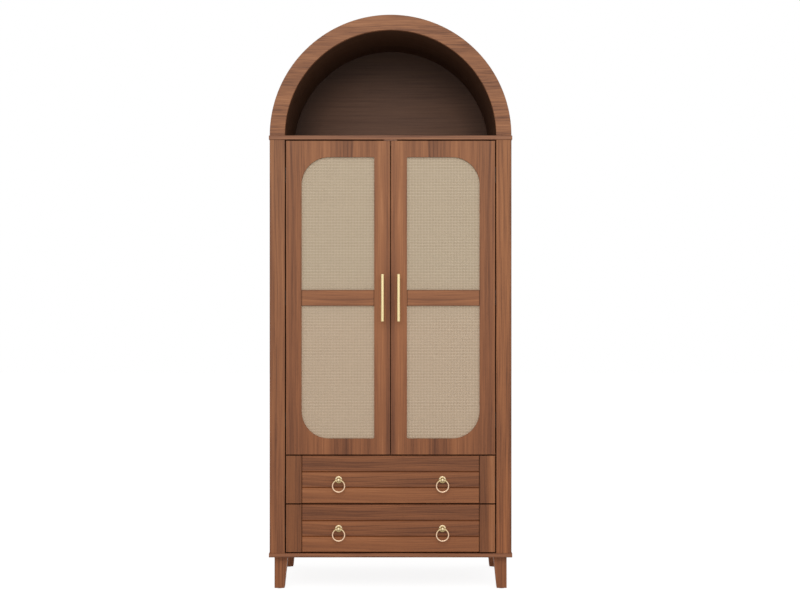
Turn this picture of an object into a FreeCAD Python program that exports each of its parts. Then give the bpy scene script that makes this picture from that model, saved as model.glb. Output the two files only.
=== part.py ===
"""Arched wardrobe: open semicircular niche on top, two cane doors, two drawers and four tapered legs.

Millimetres. X runs to the right, Y to the back and Z up. The origin is on the floor, at the middle of
the width and of the whole depth, bar handles included.
"""
import FreeCAD
import Part
import os
from math import radians

DIMENSIONS = [
    # Overall and carcass
    ("board_width", 800, "top and bottom board, side to side"),
    ("board_overhang", 2.5, "board edge proud of the sides and of the front"),
    ("board_thickness", 13, "top and bottom board"),
    ("body_depth", 447.5, "face of the doors to the rear edge"),
    ("leg_height", 106, "floor to underside of the bottom board"),
    ("front_gap", 4, "height of the gap above and below each door and drawer"),
    ("side_gap", 3.8, "gap between a stile and a door or drawer"),
    ("centre_gap", 2.4, "gap between the two doors"),
    ("stile_width", 50, "front stiles and arch ring, seen from the front"),
    ("stile_thickness", 15, "front stiles and arch ring, front to back"),
    ("side_panel_thickness", 15, "outer side panels"),
    ("inner_panel_thickness", 12, "inner side panels"),
    ("batten_depth", 40, "battens between the side panels, front to back"),
    ("back_thickness", 6, "back panel and niche back"),
    ("back_inset", 6, "rear edge of the sides to the back panels"),
    ("shelf_thickness", 13, "shelf between doors and drawers"),
    ("shelf_setback", 24, "face plane to the front edge of the shelf"),
    ("edge_round", 1.2, "round-over of front edges"),
    # Arch
    ("skin_thickness", 6, "bent outer and inner skin of the arch"),
    ("rib_thickness", 18, "ribs between the skins, front to back"),
    ("glue_gap", 0.2, "play between curved pieces"),
    # Legs
    ("leg_top_width", 43, "square leg at its top"),
    ("leg_foot_width", 32.5, "square leg at the floor"),
    ("leg_side_inset", 14.6, "body side to the outer face of a leg"),
    ("leg_front_inset", 18, "face plane to the face of a front leg"),
    ("leg_rear_inset", 2, "rear edge to the back of a rear leg"),
    ("glide_radius", 11, "glide under each leg"),
    ("glide_thickness", 2, "glide under each leg"),
    ("stud_radius", 4, "stud that joins leg and bottom board"),
    ("stud_depth_in_leg", 35, "stud below the leg top"),
    ("stud_depth_in_board", 10.5, "stud above the leg top"),
    ("stud_clearance", 0.2, "round a stud, screw or hinge cup"),
    # Doors
    ("door_height", 1031.5, "both doors"),
    ("door_thickness", 18, "doors and drawer fronts"),
    ("hinge_stile_width", 51, "door edge to window on the hinge side"),
    ("meeting_stile_width", 52.5, "door edge to window on the handle side"),
    ("top_rail_height", 54, "door top to window"),
    ("bottom_rail_height", 52.5, "door bottom to window"),
    ("mid_rail_height", 52, "rail between the two windows"),
    ("window_corner_radius", 90, "large corners of the window on the hinge side"),
    ("window_small_radius", 4, "other corners of the window"),
    ("rebate_width", 8, "rebate round a window, seen from the back"),
    ("cane_setback", 6, "door face to the cane"),
    ("cane_thickness", 2, "woven cane"),
    ("cane_clearance", 0.3, "cane and retainer in the rebate"),
    # Bar handles
    ("handle_reach", 30, "door face to the front of the bar"),
    ("handle_radius", 5.2, "bar"),
    ("handle_length", 155.5, "bar"),
    ("handle_chamfer", 0.8, "ends of the bar"),
    ("handle_inset", 25.1, "free edge of the door to the bar"),
    ("handle_rise", 515.3, "door bottom to the middle of the bar"),
    ("post_radius", 4, "posts of the handle"),
    ("post_inset", 12, "end of the bar to a post"),
    ("screw_radius", 2, "handle screws"),
    ("screw_depth", 14, "handle screw inside its post"),
    ("screw_head_radius", 4, "handle screws"),
    ("screw_head_height", 2.4, "handle screws"),
    # Concealed hinges
    ("hinge_end_distance", 110, "door end to the nearest hinge"),
    ("pin_inset", 11.2, "door edge to the hinge pin"),
    ("pin_depth", 8.75, "door face to the hinge pin"),
    ("pin_radius", 1.5, "hinge pin"),
    ("pin_clearance", 0.2, "hinge pin in its knuckle"),
    ("knuckle_radius", 2.6, "knuckle of the hinge arm"),
    ("cup_inset", 22.5, "door edge to the middle of the hinge cup"),
    ("cup_radius", 17.5, "hinge cup"),
    ("cup_depth", 13, "hinge cup"),
    ("cup_wall", 0.8, "hinge cup"),
    ("flange_width", 12, "flange of the hinge cup"),
    ("flange_length", 56, "flange of the hinge cup"),
    ("flange_thickness", 1, "flange of the hinge cup"),
    ("arm_thickness", 3.2, "hinge arm"),
    ("arm_width", 14, "hinge arm"),
    ("arm_reach", 18.5, "pin to the far side of the hinge arm"),
    ("arm_setback", 15.75, "pin to the hinge arm behind the door"),
    ("arm_plate_length", 45, "mounting plate of the hinge"),
    ("arm_plate_height", 50, "mounting plate of the hinge"),
    ("arm_plate_thickness", 3, "mounting plate of the hinge"),
    # Magnetic catch
    ("catch_width", 42, "catch under the top board"),
    ("catch_depth", 14, "catch under the top board"),
    ("catch_height", 16, "catch under the top board"),
    ("catch_clearance", 0.3, "catch to strike plate"),
    ("magnet_radius", 4, "magnets of the catch"),
    ("magnet_length", 9, "magnets of the catch"),
    ("magnet_rise", 5, "underside of the catch to the middle of a magnet"),
    ("catch_strip_setback", 0.8, "face plane to the front of the strip over the doors"),
    ("catch_strip_clearance", 0.9, "strip to the tops of the doors"),
    ("strike_width", 16, "strike plate on each door"),
    ("strike_height", 15, "strike plate on each door"),
    ("strike_thickness", 1.5, "strike plate on each door"),
    ("strike_edge_distance", 3, "strike plate to the edges of the door"),
    # Hanging rail
    ("rail_radius", 12.5, "hanging rail"),
    ("rail_wall", 1.5, "hanging rail"),
    ("rail_drop", 79.5, "underside of the top board to the middle of the rail"),
    ("socket_flange_radius", 22, "rail sockets"),
    ("socket_flange_thickness", 3, "rail sockets"),
    ("socket_wall", 2.5, "rail sockets"),
    ("socket_depth", 14, "rail sockets"),
    ("rail_clearance", 0.3, "rail in its sockets"),
    # Drawers
    ("drawer_front_height", 156.5, "both drawers"),
    ("drawer_stile_width", 51, "stile at each end of a drawer front"),
    ("drawer_face_thickness", 8, "stiles and planks on the drawer front"),
    ("plank_chamfer", 2.4, "front edges of the planks"),
    ("plank_end_gap", 0.8, "plank end to drawer stile"),
    ("box_height", 110, "drawer box"),
    ("box_depth", 380, "drawer box behind the front"),
    ("box_wall", 12, "drawer box"),
    ("box_rise", 12, "bottom of the front to the bottom of the box"),
    ("box_bottom_thickness", 6, "drawer bottom"),
    ("box_bottom_rise", 8, "underside of the box to the drawer bottom"),
    ("runner_space", 13, "inner panel to drawer box"),
    ("runner_height", 35, "drawer runners"),
    ("runner_length", 350, "drawer runners"),
    ("runner_wall", 1.2, "drawer runners"),
    ("runner_depth", 10.5, "cabinet member of a runner"),
    ("runner_clearance", 0.4, "between the members of a runner"),
    # Ring pulls
    ("pull_spacing", 341, "between the two pulls of a drawer"),
    ("rosette_radius", 11.7, "rosette"),
    ("rosette_thickness", 3.5, "rosette"),
    ("rosette_round", 1.5, "edge of the rosette"),
    ("neck_radius", 4.4, "neck between rosette and ball"),
    ("ball_radius", 7, "ball that holds the ring"),
    ("ball_reach", 11.5, "drawer face to the middle of the ball"),
    ("ball_bore_radius", 4.1, "hole through the ball"),
    ("ring_radius", 19.8, "middle line of the ring"),
    ("ring_wire_radius", 2.3, "wire of the ring"),
    ("nut_radius", 4.6, "nut behind the drawer front, across corners"),
    ("nut_thickness", 3, "nut behind the drawer front"),
    # Back screws
    ("back_screw_radius", 1.75, "screws of the back panel"),
    ("back_screw_length", 20, "screws of the back panel"),
    ("back_screw_head_radius", 3.8, "screws of the back panel"),
    ("back_screw_head_height", 1.6, "screws of the back panel"),
    ("back_screw_end_distance", 60, "outermost screws to the ends of the back panel"),
    ("cut_overrun", 1, "how far a cut runs past the face it opens"),
]

PLACES = [
    # Heights, from the floor up
    ("body_bottom", "dims.leg_height + dims.board_thickness"),
    ("lower_drawer_bottom", "place.body_bottom + dims.front_gap"),
    ("upper_drawer_bottom", "place.lower_drawer_bottom + dims.drawer_front_height + dims.front_gap"),
    ("door_bottom", "place.upper_drawer_bottom + dims.drawer_front_height + dims.front_gap"),
    ("door_top", "place.door_bottom + dims.door_height"),
    ("body_top", "place.door_top + dims.front_gap"),
    ("arch_floor", "place.body_top + dims.board_thickness"),
    ("shelf_bottom", "place.door_bottom - dims.front_gap / 2 - dims.shelf_thickness / 2"),
    ("window_height", "(dims.door_height - dims.top_rail_height - dims.bottom_rail_height"
                      " - dims.mid_rail_height) / 2"),
    ("window_bottom", "place.door_bottom + dims.bottom_rail_height"),
    ("mid_rail_bottom", "place.window_bottom + place.window_height"),
    ("mid_rail_top", "place.mid_rail_bottom + dims.mid_rail_height"),
    ("window_top", "place.mid_rail_top + place.window_height"),
    # Distances from the middle plane; the left side uses them with a minus sign
    ("half_body", "dims.board_width / 2 - dims.board_overhang"),
    ("inner_x", "place.half_body - dims.stile_width"),
    ("core_inner_x", "place.inner_x + dims.inner_panel_thickness"),
    ("core_outer_x", "place.half_body - dims.side_panel_thickness"),
    ("door_outer", "place.inner_x - dims.side_gap"),
    ("door_inner", "dims.centre_gap / 2"),
    ("window_outer", "place.door_outer - dims.hinge_stile_width"),
    ("window_inner", "place.door_inner + dims.meeting_stile_width"),
    ("pin_x", "place.door_outer - dims.pin_inset"),
    ("leg_outer_x", "place.half_body - dims.leg_side_inset"),
    ("leg_middle_x", "place.leg_outer_x - dims.leg_foot_width / 2"),
    ("plank_end", "place.door_outer - dims.drawer_stile_width"),
    ("box_outer", "place.inner_x - dims.runner_space"),
    # Depths, from the face plane of doors, drawers and stiles to the rear edge
    ("front", "(dims.handle_reach - dims.body_depth) / 2"),
    ("rear", "place.front + dims.body_depth"),
    ("back_rear", "place.rear - dims.back_inset"),
    ("back_front", "place.back_rear - dims.back_thickness"),
    ("behind_stile", "place.front + dims.stile_thickness"),
    ("door_back", "place.front + dims.door_thickness"),
    ("cane_front", "place.front + dims.cane_setback"),
    ("cane_back", "place.cane_front + dims.cane_thickness"),
    ("pin_y", "place.front + dims.pin_depth"),
    ("catch_front", "place.door_back + dims.strike_thickness + dims.catch_clearance"),
    ("sub_front", "place.front + dims.drawer_face_thickness"),
    ("rail_y", "(place.door_back + place.back_front) / 2"),
]

HINGE_HEIGHTS = [
    "place.door_bottom + dims.hinge_end_distance",
    "(place.door_bottom + place.door_top) / 2",
    "place.door_top - dims.hinge_end_distance",
]
BACK_SCREW_ROWS = 7
PLANKS = 3
TOLERANCE = 1e-4

ALONG_X = FreeCAD.Rotation(FreeCAD.Vector(0, 1, 0), 90)
ALONG_Y = FreeCAD.Rotation(FreeCAD.Vector(1, 0, 0), -90)
ALONG_Z = FreeCAD.Rotation()
ARCH_UP = FreeCAD.Rotation(FreeCAD.Vector(1, 0, 0), 90)

doc = FreeCAD.newDocument("wardrobe")
dims = doc.addObject("Spreadsheet::Sheet", "dims")
place = doc.addObject("App::VarSet", "place")
nodes = []


def fill_sheet():
    """Write the driving dimensions as text cells, each with its alias and a note."""
    for row, (alias, value, note) in enumerate(DIMENSIONS, start=1):
        dims.set(f"A{row}", alias)
        dims.set(f"B{row}", str(value))
        dims.set(f"C{row}", note)
        dims.setAlias(f"B{row}", alias)
    doc.recompute()


def fill_places():
    """Work out the places that several pieces share."""
    for name, formula in PLACES:
        place.addProperty("App::PropertyFloat", name)
        place.setExpression(name, formula)
    doc.recompute()


def at(name):
    """A shared place, as a number."""
    return getattr(place, name)


def block(name, x, y, z, owner=None, kind="Part::Box"):
    """A box between pairs of formulas; inside a body it is an additive or subtractive box."""
    box = owner.newObject(kind, name) if owner else doc.addObject(kind, name)
    for axis, size, (low, high) in zip("xyz", ("Length", "Width", "Height"), (x, y, z)):
        box.setExpression(f"Placement.Base.{axis}", low)
        box.setExpression(size, f"({high}) - ({low})")
    return box


def rod(name, start, length, radius, turn, owner=None, kind="Part::Cylinder", angle=None):
    """A cylinder from a start point along the axis that its rotation gives."""
    cylinder = owner.newObject(kind, name) if owner else doc.addObject(kind, name)
    cylinder.Placement = FreeCAD.Placement(FreeCAD.Vector(), turn)
    for axis, formula in zip("xyz", start):
        cylinder.setExpression(f"Placement.Base.{axis}", formula)
    cylinder.setExpression("Height", length)
    cylinder.setExpression("Radius", radius)
    if angle:
        cylinder.Angle = angle
    return cylinder


def cut(name, base, *tools):
    """The base with every tool taken away."""
    tool = tools[0]
    if len(tools) > 1:
        tool = doc.addObject("Part::Compound", name + "_tools")
        tool.Links = list(tools)
    result = doc.addObject("Part::Cut", name)
    result.Base = base
    result.Tool = tool
    return result


def fuse(name, *shapes):
    """One solid made of several."""
    result = doc.addObject("Part::MultiFuse", name)
    result.Shapes = list(shapes)
    result.Refine = True
    return result


def mirror(name, source):
    """The same piece on the other side of the middle plane."""
    result = doc.addObject("Part::Mirroring", name)
    result.Source = source
    result.Normal = FreeCAD.Vector(1, 0, 0)
    return result


def group(name, *pieces):
    """Separate solids that share a node."""
    result = doc.addObject("Part::Compound", name)
    result.Links = list(pieces)
    return result


def node(label, piece):
    """Name a finished sub-part and list it for export."""
    piece.Label = label
    nodes.append(piece)
    return piece


def both_sides(name, left):
    """A left-hand piece and its mirror image, each its own node."""
    node("left_" + name, left)
    return node("right_" + name, mirror("right_" + name, left))


def new_body(name):
    return doc.addObject("PartDesign::Body", name)


def added(body, name, x, y, z):
    return block(name, x, y, z, body, "PartDesign::AdditiveBox")


def taken(body, name, x, y, z):
    return block(name, x, y, z, body, "PartDesign::SubtractiveBox")


def edges_where(shape, test):
    """Names of the edges whose vertices all pass a test."""
    return [f"Edge{index}" for index, edge in enumerate(shape.Edges, start=1)
            if all(test(vertex.Point) for vertex in edge.Vertexes)]


def corners_where(shape, test):
    """Names of the front-to-back edges whose vertices all pass a test."""
    names = edges_where(shape, test)
    return [name for name in names
            if shape.getElement(name).BoundBox.XLength + shape.getElement(name).BoundBox.ZLength
            < TOLERANCE]


def dress(body, kind, name, size, formula, find, test):
    """A fillet or chamfer on the edges of the body's last feature that a search finds."""
    body.recompute(True)
    base = body.Tip
    feature = body.newObject(kind, name)
    feature.Base = (base, find(base.Shape, test))
    feature.setExpression(size, formula)
    return feature


def round_edges(body, name, test, formula="dims.edge_round"):
    return dress(body, "PartDesign::Fillet", name, "Radius", formula, edges_where, test)


def round_corners(body, name, test, formula):
    return dress(body, "PartDesign::Fillet", name, "Radius", formula, corners_where, test)


def chamfer_edges(body, name, test, formula):
    return dress(body, "PartDesign::Chamfer", name, "Size", formula, edges_where, test)


def near(value, target):
    return abs(value - target) < TOLERANCE


def on_front(point):
    return near(point.y, at("front"))


def rounded_panel(name, x, y, z, front="front"):
    """A board whose front edges are eased."""
    body = new_body(name)
    added(body, name + "_blank", x, y, z)
    round_edges(body, name + "_ease", lambda point: near(point.y, at(front)))
    return body


def make_boards():
    """Top and bottom board, proud of the body in front and at the sides."""
    x = ("-dims.board_width / 2", "dims.board_width / 2")
    y = ("place.front - dims.board_overhang", "place.rear")
    overhang = dims.get("board_overhang")

    def on_edge(point):
        return near(point.y, at("front") - overhang)

    bottom = new_body("bottom_board")
    added(bottom, "bottom_board_blank", x, y, ("dims.leg_height", "place.body_bottom"))
    round_edges(bottom, "bottom_board_ease", on_edge)
    for index, (leg_x, leg_y) in enumerate(leg_middles()):
        rod(f"stud_hole_{index}", (leg_x, leg_y, "dims.leg_height - dims.cut_overrun"),
            "dims.stud_depth_in_board + dims.stud_clearance + dims.cut_overrun",
            "dims.stud_radius + dims.stud_clearance", ALONG_Z, bottom,
            "PartDesign::SubtractiveCylinder")
    node("bottom_board", bottom)

    top = new_body("top_board")
    added(top, "top_board_blank", x, y, ("place.body_top", "place.arch_floor"))
    round_edges(top, "top_board_ease", on_edge)
    node("top_board", top)


def make_sides():
    """Each side is a stile in front of two panels with battens between them."""
    height = ("place.body_bottom", "place.body_top")
    stile = rounded_panel("left_front_stile", ("-place.half_body", "-place.inner_x"),
                          ("place.front", "place.behind_stile"), height)
    both_sides("front_stile", stile)
    both_sides("side_panel", block("left_side_panel", ("-place.half_body", "-place.core_outer_x"),
                                   ("place.behind_stile", "place.rear"), height))
    both_sides("inner_panel", block("left_inner_panel", ("-place.core_inner_x", "-place.inner_x"),
                                    ("place.behind_stile", "place.back_front"), height))

    core = ("-place.core_outer_x", "-place.core_inner_x")
    front_batten = block("front_batten", core,
                         ("place.behind_stile", "place.behind_stile + dims.batten_depth"), height)
    rear_blank = block("rear_batten_blank", core,
                       ("place.back_front - dims.batten_depth", "place.back_front"), height)
    rear_batten = cut("rear_batten", rear_blank, *back_screw_holes("batten"))
    node("side_battens", group("side_battens", front_batten, rear_batten,
                               mirror("front_batten_right", front_batten),
                               mirror("rear_batten_right", rear_batten)))


def back_screw_height(row):
    """Height of a row of back screws."""
    share = row / (BACK_SCREW_ROWS - 1)
    return (f"place.body_bottom + dims.back_screw_end_distance + {share} *"
            " (place.body_top - place.body_bottom - 2 * dims.back_screw_end_distance)")


def back_screw_holes(name):
    """Holes for the left column of back screws."""
    middle = "-(place.core_inner_x + place.core_outer_x) / 2"
    start = "place.back_rear - dims.back_screw_length - dims.stud_clearance"
    return [rod(f"{name}_screw_hole_{row}", (middle, start, back_screw_height(row)),
                "dims.back_screw_length + dims.stud_clearance + dims.cut_overrun",
                "dims.back_screw_radius + dims.stud_clearance", ALONG_Y)
            for row in range(BACK_SCREW_ROWS)]


def make_back():
    """Back panel in its rebate, and the screws that hold it."""
    panel = block("back_panel_blank", ("-place.core_outer_x", "place.core_outer_x"),
                  ("place.back_front", "place.back_rear"), ("place.body_bottom", "place.body_top"))
    holes = back_screw_holes("back")
    mirrored = [mirror(hole.Name + "_right", hole) for hole in holes]
    node("back_panel", cut("back_panel", panel, *holes, *mirrored))

    middle = "-(place.core_inner_x + place.core_outer_x) / 2"
    screws = []
    for row in range(BACK_SCREW_ROWS):
        height = back_screw_height(row)
        shank = rod(f"back_shank_{row}", (middle, "place.back_rear - dims.back_screw_length", height),
                    "dims.back_screw_length + dims.back_screw_head_height / 2",
                    "dims.back_screw_radius", ALONG_Y)
        head = rod(f"back_head_{row}", (middle, "place.back_rear", height),
                   "dims.back_screw_head_height", "dims.back_screw_head_radius", ALONG_Y)
        screw = fuse(f"back_screw_{row}", shank, head)
        screws += [screw, mirror(f"back_screw_{row}_right", screw)]
    node("back_panel_screws", group("back_panel_screws", *screws))


def make_shelf():
    """Shelf between the hanging space and the drawers."""
    node("middle_shelf", block("middle_shelf", ("-place.inner_x", "place.inner_x"),
                               ("place.front + dims.shelf_setback", "place.back_front"),
                               ("place.shelf_bottom", "place.shelf_bottom + dims.shelf_thickness")))


def half_disc(name, radius, y):
    """Upper half of a cylinder that lies along Y, on the top board."""
    low, high = y
    return rod(name, ("0", high, "place.arch_floor"), f"({high}) - ({low})", radius, ARCH_UP, angle=180)


def half_ring(name, outer, inner, y):
    """Upper half of a tube that lies along Y, on the top board."""
    return cut(name, half_disc(name + "_outer", outer, y), half_disc(name + "_inner", inner, y))


def make_arch():
    """Front ring, bent skins with ribs between them, and the back of the niche."""
    ring = new_body("arch_front_ring")
    profile = ring.newObject("Sketcher::SketchObject", "arch_profile")
    profile.AttachmentSupport = [(origin_plane(ring, "XZ_Plane"), "")]
    profile.MapMode = "FlatFace"
    profile.setExpression("AttachmentOffset.Base.y", "place.arch_floor")
    profile.setExpression("AttachmentOffset.Base.z", "-place.behind_stile")
    draw_half_ring(profile, at("half_body"), at("inner_x"))
    profile.setExpression("Constraints.outer_radius", "place.half_body")
    profile.setExpression("Constraints.inner_radius", "place.inner_x")
    pad = ring.newObject("PartDesign::Pad", "arch_pad")
    pad.Profile = profile
    pad.setExpression("Length", "dims.stile_thickness")
    round_edges(ring, "arch_ease", on_front)
    node("arch_front_ring", ring)

    outer_inside = "place.half_body - dims.skin_thickness"
    inner_outside = "place.inner_x + dims.skin_thickness"
    node("arch_outer_skin", half_ring("arch_outer_skin", "place.half_body", outer_inside,
                                      ("place.behind_stile", "place.rear")))
    node("arch_inner_skin", half_ring("arch_inner_skin", inner_outside, "place.inner_x",
                                      ("place.behind_stile", "place.back_front")))

    middle = "(place.behind_stile + place.back_front - dims.rib_thickness) / 2"
    ribs = []
    for name, start in (("front_rib", "place.behind_stile"), ("middle_rib", middle),
                        ("rear_rib", "place.back_front - dims.rib_thickness")):
        ribs.append(half_ring(name, f"{outer_inside} - dims.glue_gap",
                              f"{inner_outside} + dims.glue_gap",
                              (start, f"{start} + dims.rib_thickness")))
    node("arch_ribs", group("arch_ribs", *ribs))
    node("niche_back_panel", half_disc("niche_back_panel", f"{outer_inside} - dims.glue_gap",
                                       ("place.back_front", "place.back_rear")))


def origin_plane(body, role):
    return next(item for item in body.Origin.OriginFeatures if item.Role == role)


def draw_half_ring(sketch, outer, inner):
    """Two half circles about the sketch's origin, closed by two feet; radii are named constraints."""
    import Sketcher
    middle = FreeCAD.Vector()
    upward = FreeCAD.Vector(0, 0, 1)
    big = sketch.addGeometry(Part.ArcOfCircle(Part.Circle(middle, upward, outer), 0, radians(180)))
    small = sketch.addGeometry(Part.ArcOfCircle(Part.Circle(middle, upward, inner), 0, radians(180)))
    feet = []
    for side in (1, -1):
        feet.append(sketch.addGeometry(Part.LineSegment(FreeCAD.Vector(side * inner, 0, 0),
                                                        FreeCAD.Vector(side * outer, 0, 0))))
    sketch.addConstraint(Sketcher.Constraint("Coincident", big, 3, -1, 1))
    sketch.addConstraint(Sketcher.Constraint("Coincident", small, 3, -1, 1))
    for foot, end in zip(feet, (1, 2)):
        sketch.addConstraint(Sketcher.Constraint("Coincident", foot, 1, small, end))
        sketch.addConstraint(Sketcher.Constraint("Coincident", foot, 2, big, end))
        sketch.addConstraint(Sketcher.Constraint("PointOnObject", small, end, -1))
        sketch.addConstraint(Sketcher.Constraint("PointOnObject", big, end, -1))
    for name, arc, radius in (("outer_radius", big, outer), ("inner_radius", small, inner)):
        index = sketch.addConstraint(Sketcher.Constraint("Radius", arc, radius))
        sketch.renameConstraint(index, name)


def leg_middles():
    """Where the four studs stand: front left, front right, rear left, rear right."""
    front = "place.front + dims.leg_front_inset + dims.leg_foot_width / 2"
    rear = "place.rear - dims.leg_rear_inset - dims.leg_foot_width / 2"
    return [(x, y) for y in (front, rear) for x in ("-place.leg_middle_x", "place.leg_middle_x")]


def make_leg(name, y_face, inward, stud):
    """A left leg whose outer faces are upright and whose two inner faces taper to the floor."""
    leg = doc.addObject("Part::Wedge", name + "_blank")
    leg.Placement = FreeCAD.Placement(FreeCAD.Vector(), FreeCAD.Rotation(FreeCAD.Vector(1, 0, 0), 90))
    leg.setExpression("Placement.Base.x", "-place.leg_outer_x")
    leg.setExpression("Placement.Base.y", y_face)
    leg.setExpression("Placement.Base.z", "0")
    leg.setExpression("Ymin", "dims.glide_thickness")
    leg.setExpression("Ymax", "dims.leg_height")
    for end, width in (("Xmax", "dims.leg_foot_width"), ("X2max", "dims.leg_top_width")):
        leg.setExpression(end, width)
        depth = end.replace("X", "Z")
        leg.setExpression(depth, "0" if inward > 0 else width)
        leg.setExpression(depth.replace("max", "min"), f"-({width})" if inward > 0 else "0")
    leg.Xmin = leg.X2min = 0
    stud_x, stud_y = stud
    hole = rod(name + "_stud_hole",
               (stud_x, stud_y, "dims.leg_height - dims.stud_depth_in_leg - dims.stud_clearance"),
               "dims.stud_depth_in_leg + dims.stud_clearance + dims.cut_overrun",
               "dims.stud_radius + dims.stud_clearance", ALONG_Z)
    return cut(name, leg, hole)


def make_legs():
    """Four tapered legs, the studs that join them to the bottom board, and their glides."""
    studs = leg_middles()
    front = make_leg("front_left_leg", "place.front + dims.leg_front_inset", 1, studs[0])
    rear = make_leg("rear_left_leg", "place.rear - dims.leg_rear_inset", -1, studs[2])
    node("front_legs", group("front_legs", front, mirror("front_right_leg", front)))
    node("rear_legs", group("rear_legs", rear, mirror("rear_right_leg", rear)))
    node("leg_studs", group("leg_studs", *[
        rod(f"leg_stud_{index}", (x, y, "dims.leg_height - dims.stud_depth_in_leg"),
            "dims.stud_depth_in_leg + dims.stud_depth_in_board", "dims.stud_radius", ALONG_Z)
        for index, (x, y) in enumerate(studs)]))
    node("leg_glides", group("leg_glides", *[
        rod(f"leg_glide_{index}", (x, y, "0"), "dims.glide_thickness", "dims.glide_radius", ALONG_Z)
        for index, (x, y) in enumerate(studs)]))


def make_hanging_rail():
    """Tube across the hanging space, and a flanged socket on each inner panel."""
    height = "place.body_top - dims.rail_drop"
    half = "(place.inner_x - dims.rail_clearance)"

    def across(name, start, length, radius):
        return rod(name, (start, "place.rail_y", height), length, radius, ALONG_X)

    tube = across("rail_tube", f"-{half}", f"2 * {half}", "dims.rail_radius")
    bore = across("rail_bore", "-place.inner_x", "2 * place.inner_x", "dims.rail_radius - dims.rail_wall")
    node("hanging_rail", cut("hanging_rail", tube, bore))

    flange = across("socket_flange", "-place.inner_x", "dims.socket_flange_thickness",
                    "dims.socket_flange_radius")
    collar = across("socket_collar", "-place.inner_x", "dims.socket_depth",
                    "dims.rail_radius + dims.rail_clearance + dims.socket_wall")
    hollow = across("socket_hollow", "-place.inner_x - dims.cut_overrun",
                    "dims.socket_depth + 2 * dims.cut_overrun", "dims.rail_radius + dims.rail_clearance")
    socket = cut("left_rail_socket", fuse("socket_solid", flange, collar), hollow)
    node("rail_sockets", group("rail_sockets", socket, mirror("right_rail_socket", socket)))


def make_catch():
    """Double magnetic catch under the top board; its magnets face the strike plates.

    A strip of its own closes the gap over the doors in front of it."""
    width = ("-dims.catch_width / 2", "dims.catch_width / 2")
    housing = block("catch_housing", width,
                    ("place.catch_front", "place.catch_front + dims.catch_depth"),
                    ("place.body_top - dims.catch_height", "place.body_top"))
    strip = block("catch_strip", width, ("place.front + dims.catch_strip_setback", "place.door_back"),
                  ("place.door_top + dims.catch_strip_clearance", "place.body_top"))
    height = "place.body_top - dims.catch_height + dims.magnet_rise"
    middle = "-(place.door_inner + dims.strike_edge_distance + dims.strike_width / 2)"
    magnet = rod("left_magnet", (middle, "place.catch_front", height), "dims.magnet_length",
                 "dims.magnet_radius", ALONG_Y)
    hole = rod("magnet_hole", (middle, "place.catch_front - dims.cut_overrun", height),
               "dims.magnet_length + dims.cut_overrun", "dims.magnet_radius + dims.glue_gap", ALONG_Y)
    body = cut("catch_body", housing, hole, mirror("magnet_hole_right", hole))
    node("door_catch", group("door_catch", body, magnet, mirror("right_magnet", magnet), strip))


def window_x(margin="0"):
    """Left door window, side to side, grown by a margin."""
    return (f"-place.window_outer - ({margin})", f"-place.window_inner + ({margin})")


WINDOWS = {
    "lower": ("place.window_bottom", "place.mid_rail_bottom"),
    "upper": ("place.mid_rail_top", "place.window_top"),
}


def round_window(body, name, which, margin):
    """Round the corners of a window-shaped feature: one large, on the hinge side, and three small.

    margin is how much larger than the window the outline is; a formula and its value.
    """
    formula, grow = margin
    low, high = {"lower": ("window_bottom", "mid_rail_bottom"), "upper": ("mid_rail_top", "window_top"),
                 "whole": ("window_bottom", "window_top")}[which]
    bottom = at(low) - grow
    top = at(high) + grow
    outer = -at("window_outer") - grow
    inner = -at("window_inner") + grow
    large = {"lower": [bottom], "upper": [top], "whole": [bottom, top]}[which]

    def large_corner(point):
        return near(point.x, outer) and any(near(point.z, level) for level in large)

    def small_corner(point):
        on_side = near(point.x, outer) or near(point.x, inner)
        on_end = near(point.z, bottom) or near(point.z, top)
        return on_side and on_end and not large_corner(point)

    round_corners(body, name + "_large", large_corner, f"dims.window_corner_radius + {formula}")
    round_corners(body, name + "_small", small_corner, "dims.window_small_radius")


def make_door_frame():
    """Left door frame: window, rebates for the cane, hinge cups and holes for the handle screws."""
    frame = new_body("left_door_frame")
    added(frame, "door_blank", ("-place.door_outer", "-place.door_inner"),
          ("place.front", "place.door_back"), ("place.door_bottom", "place.door_top"))
    through = ("place.front - dims.cut_overrun", "place.door_back + dims.cut_overrun")
    taken(frame, "door_window", window_x(), through, ("place.window_bottom", "place.window_top"))
    round_window(frame, "door_window", "whole", ("0", 0))
    round_edges(frame, "door_ease", on_front)

    for which, (low, high) in WINDOWS.items():
        rebate = f"{which}_rebate"
        taken(frame, rebate, window_x("dims.rebate_width"),
              ("place.cane_front", "place.door_back + dims.cut_overrun"),
              (f"{low} - dims.rebate_width", f"{high} + dims.rebate_width"))
        round_window(frame, rebate, which, ("dims.rebate_width", dims.get("rebate_width")))
    for index, height in enumerate(HINGE_HEIGHTS):
        rod(f"cup_hole_{index}",
            ("-(place.door_outer - dims.cup_inset)",
             "place.door_back - dims.cup_depth - dims.stud_clearance", height),
            "dims.cup_depth + dims.stud_clearance + dims.cut_overrun",
            "dims.cup_radius + dims.stud_clearance", ALONG_Y, frame, "PartDesign::SubtractiveCylinder")
    for index, height in enumerate(post_heights()):
        rod(f"handle_screw_hole_{index}",
            (handle_x(), "place.front - dims.cut_overrun", height),
            "dims.door_thickness + 2 * dims.cut_overrun", "dims.screw_radius + dims.stud_clearance",
            ALONG_Y, frame, "PartDesign::SubtractiveCylinder")
    return frame


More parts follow.
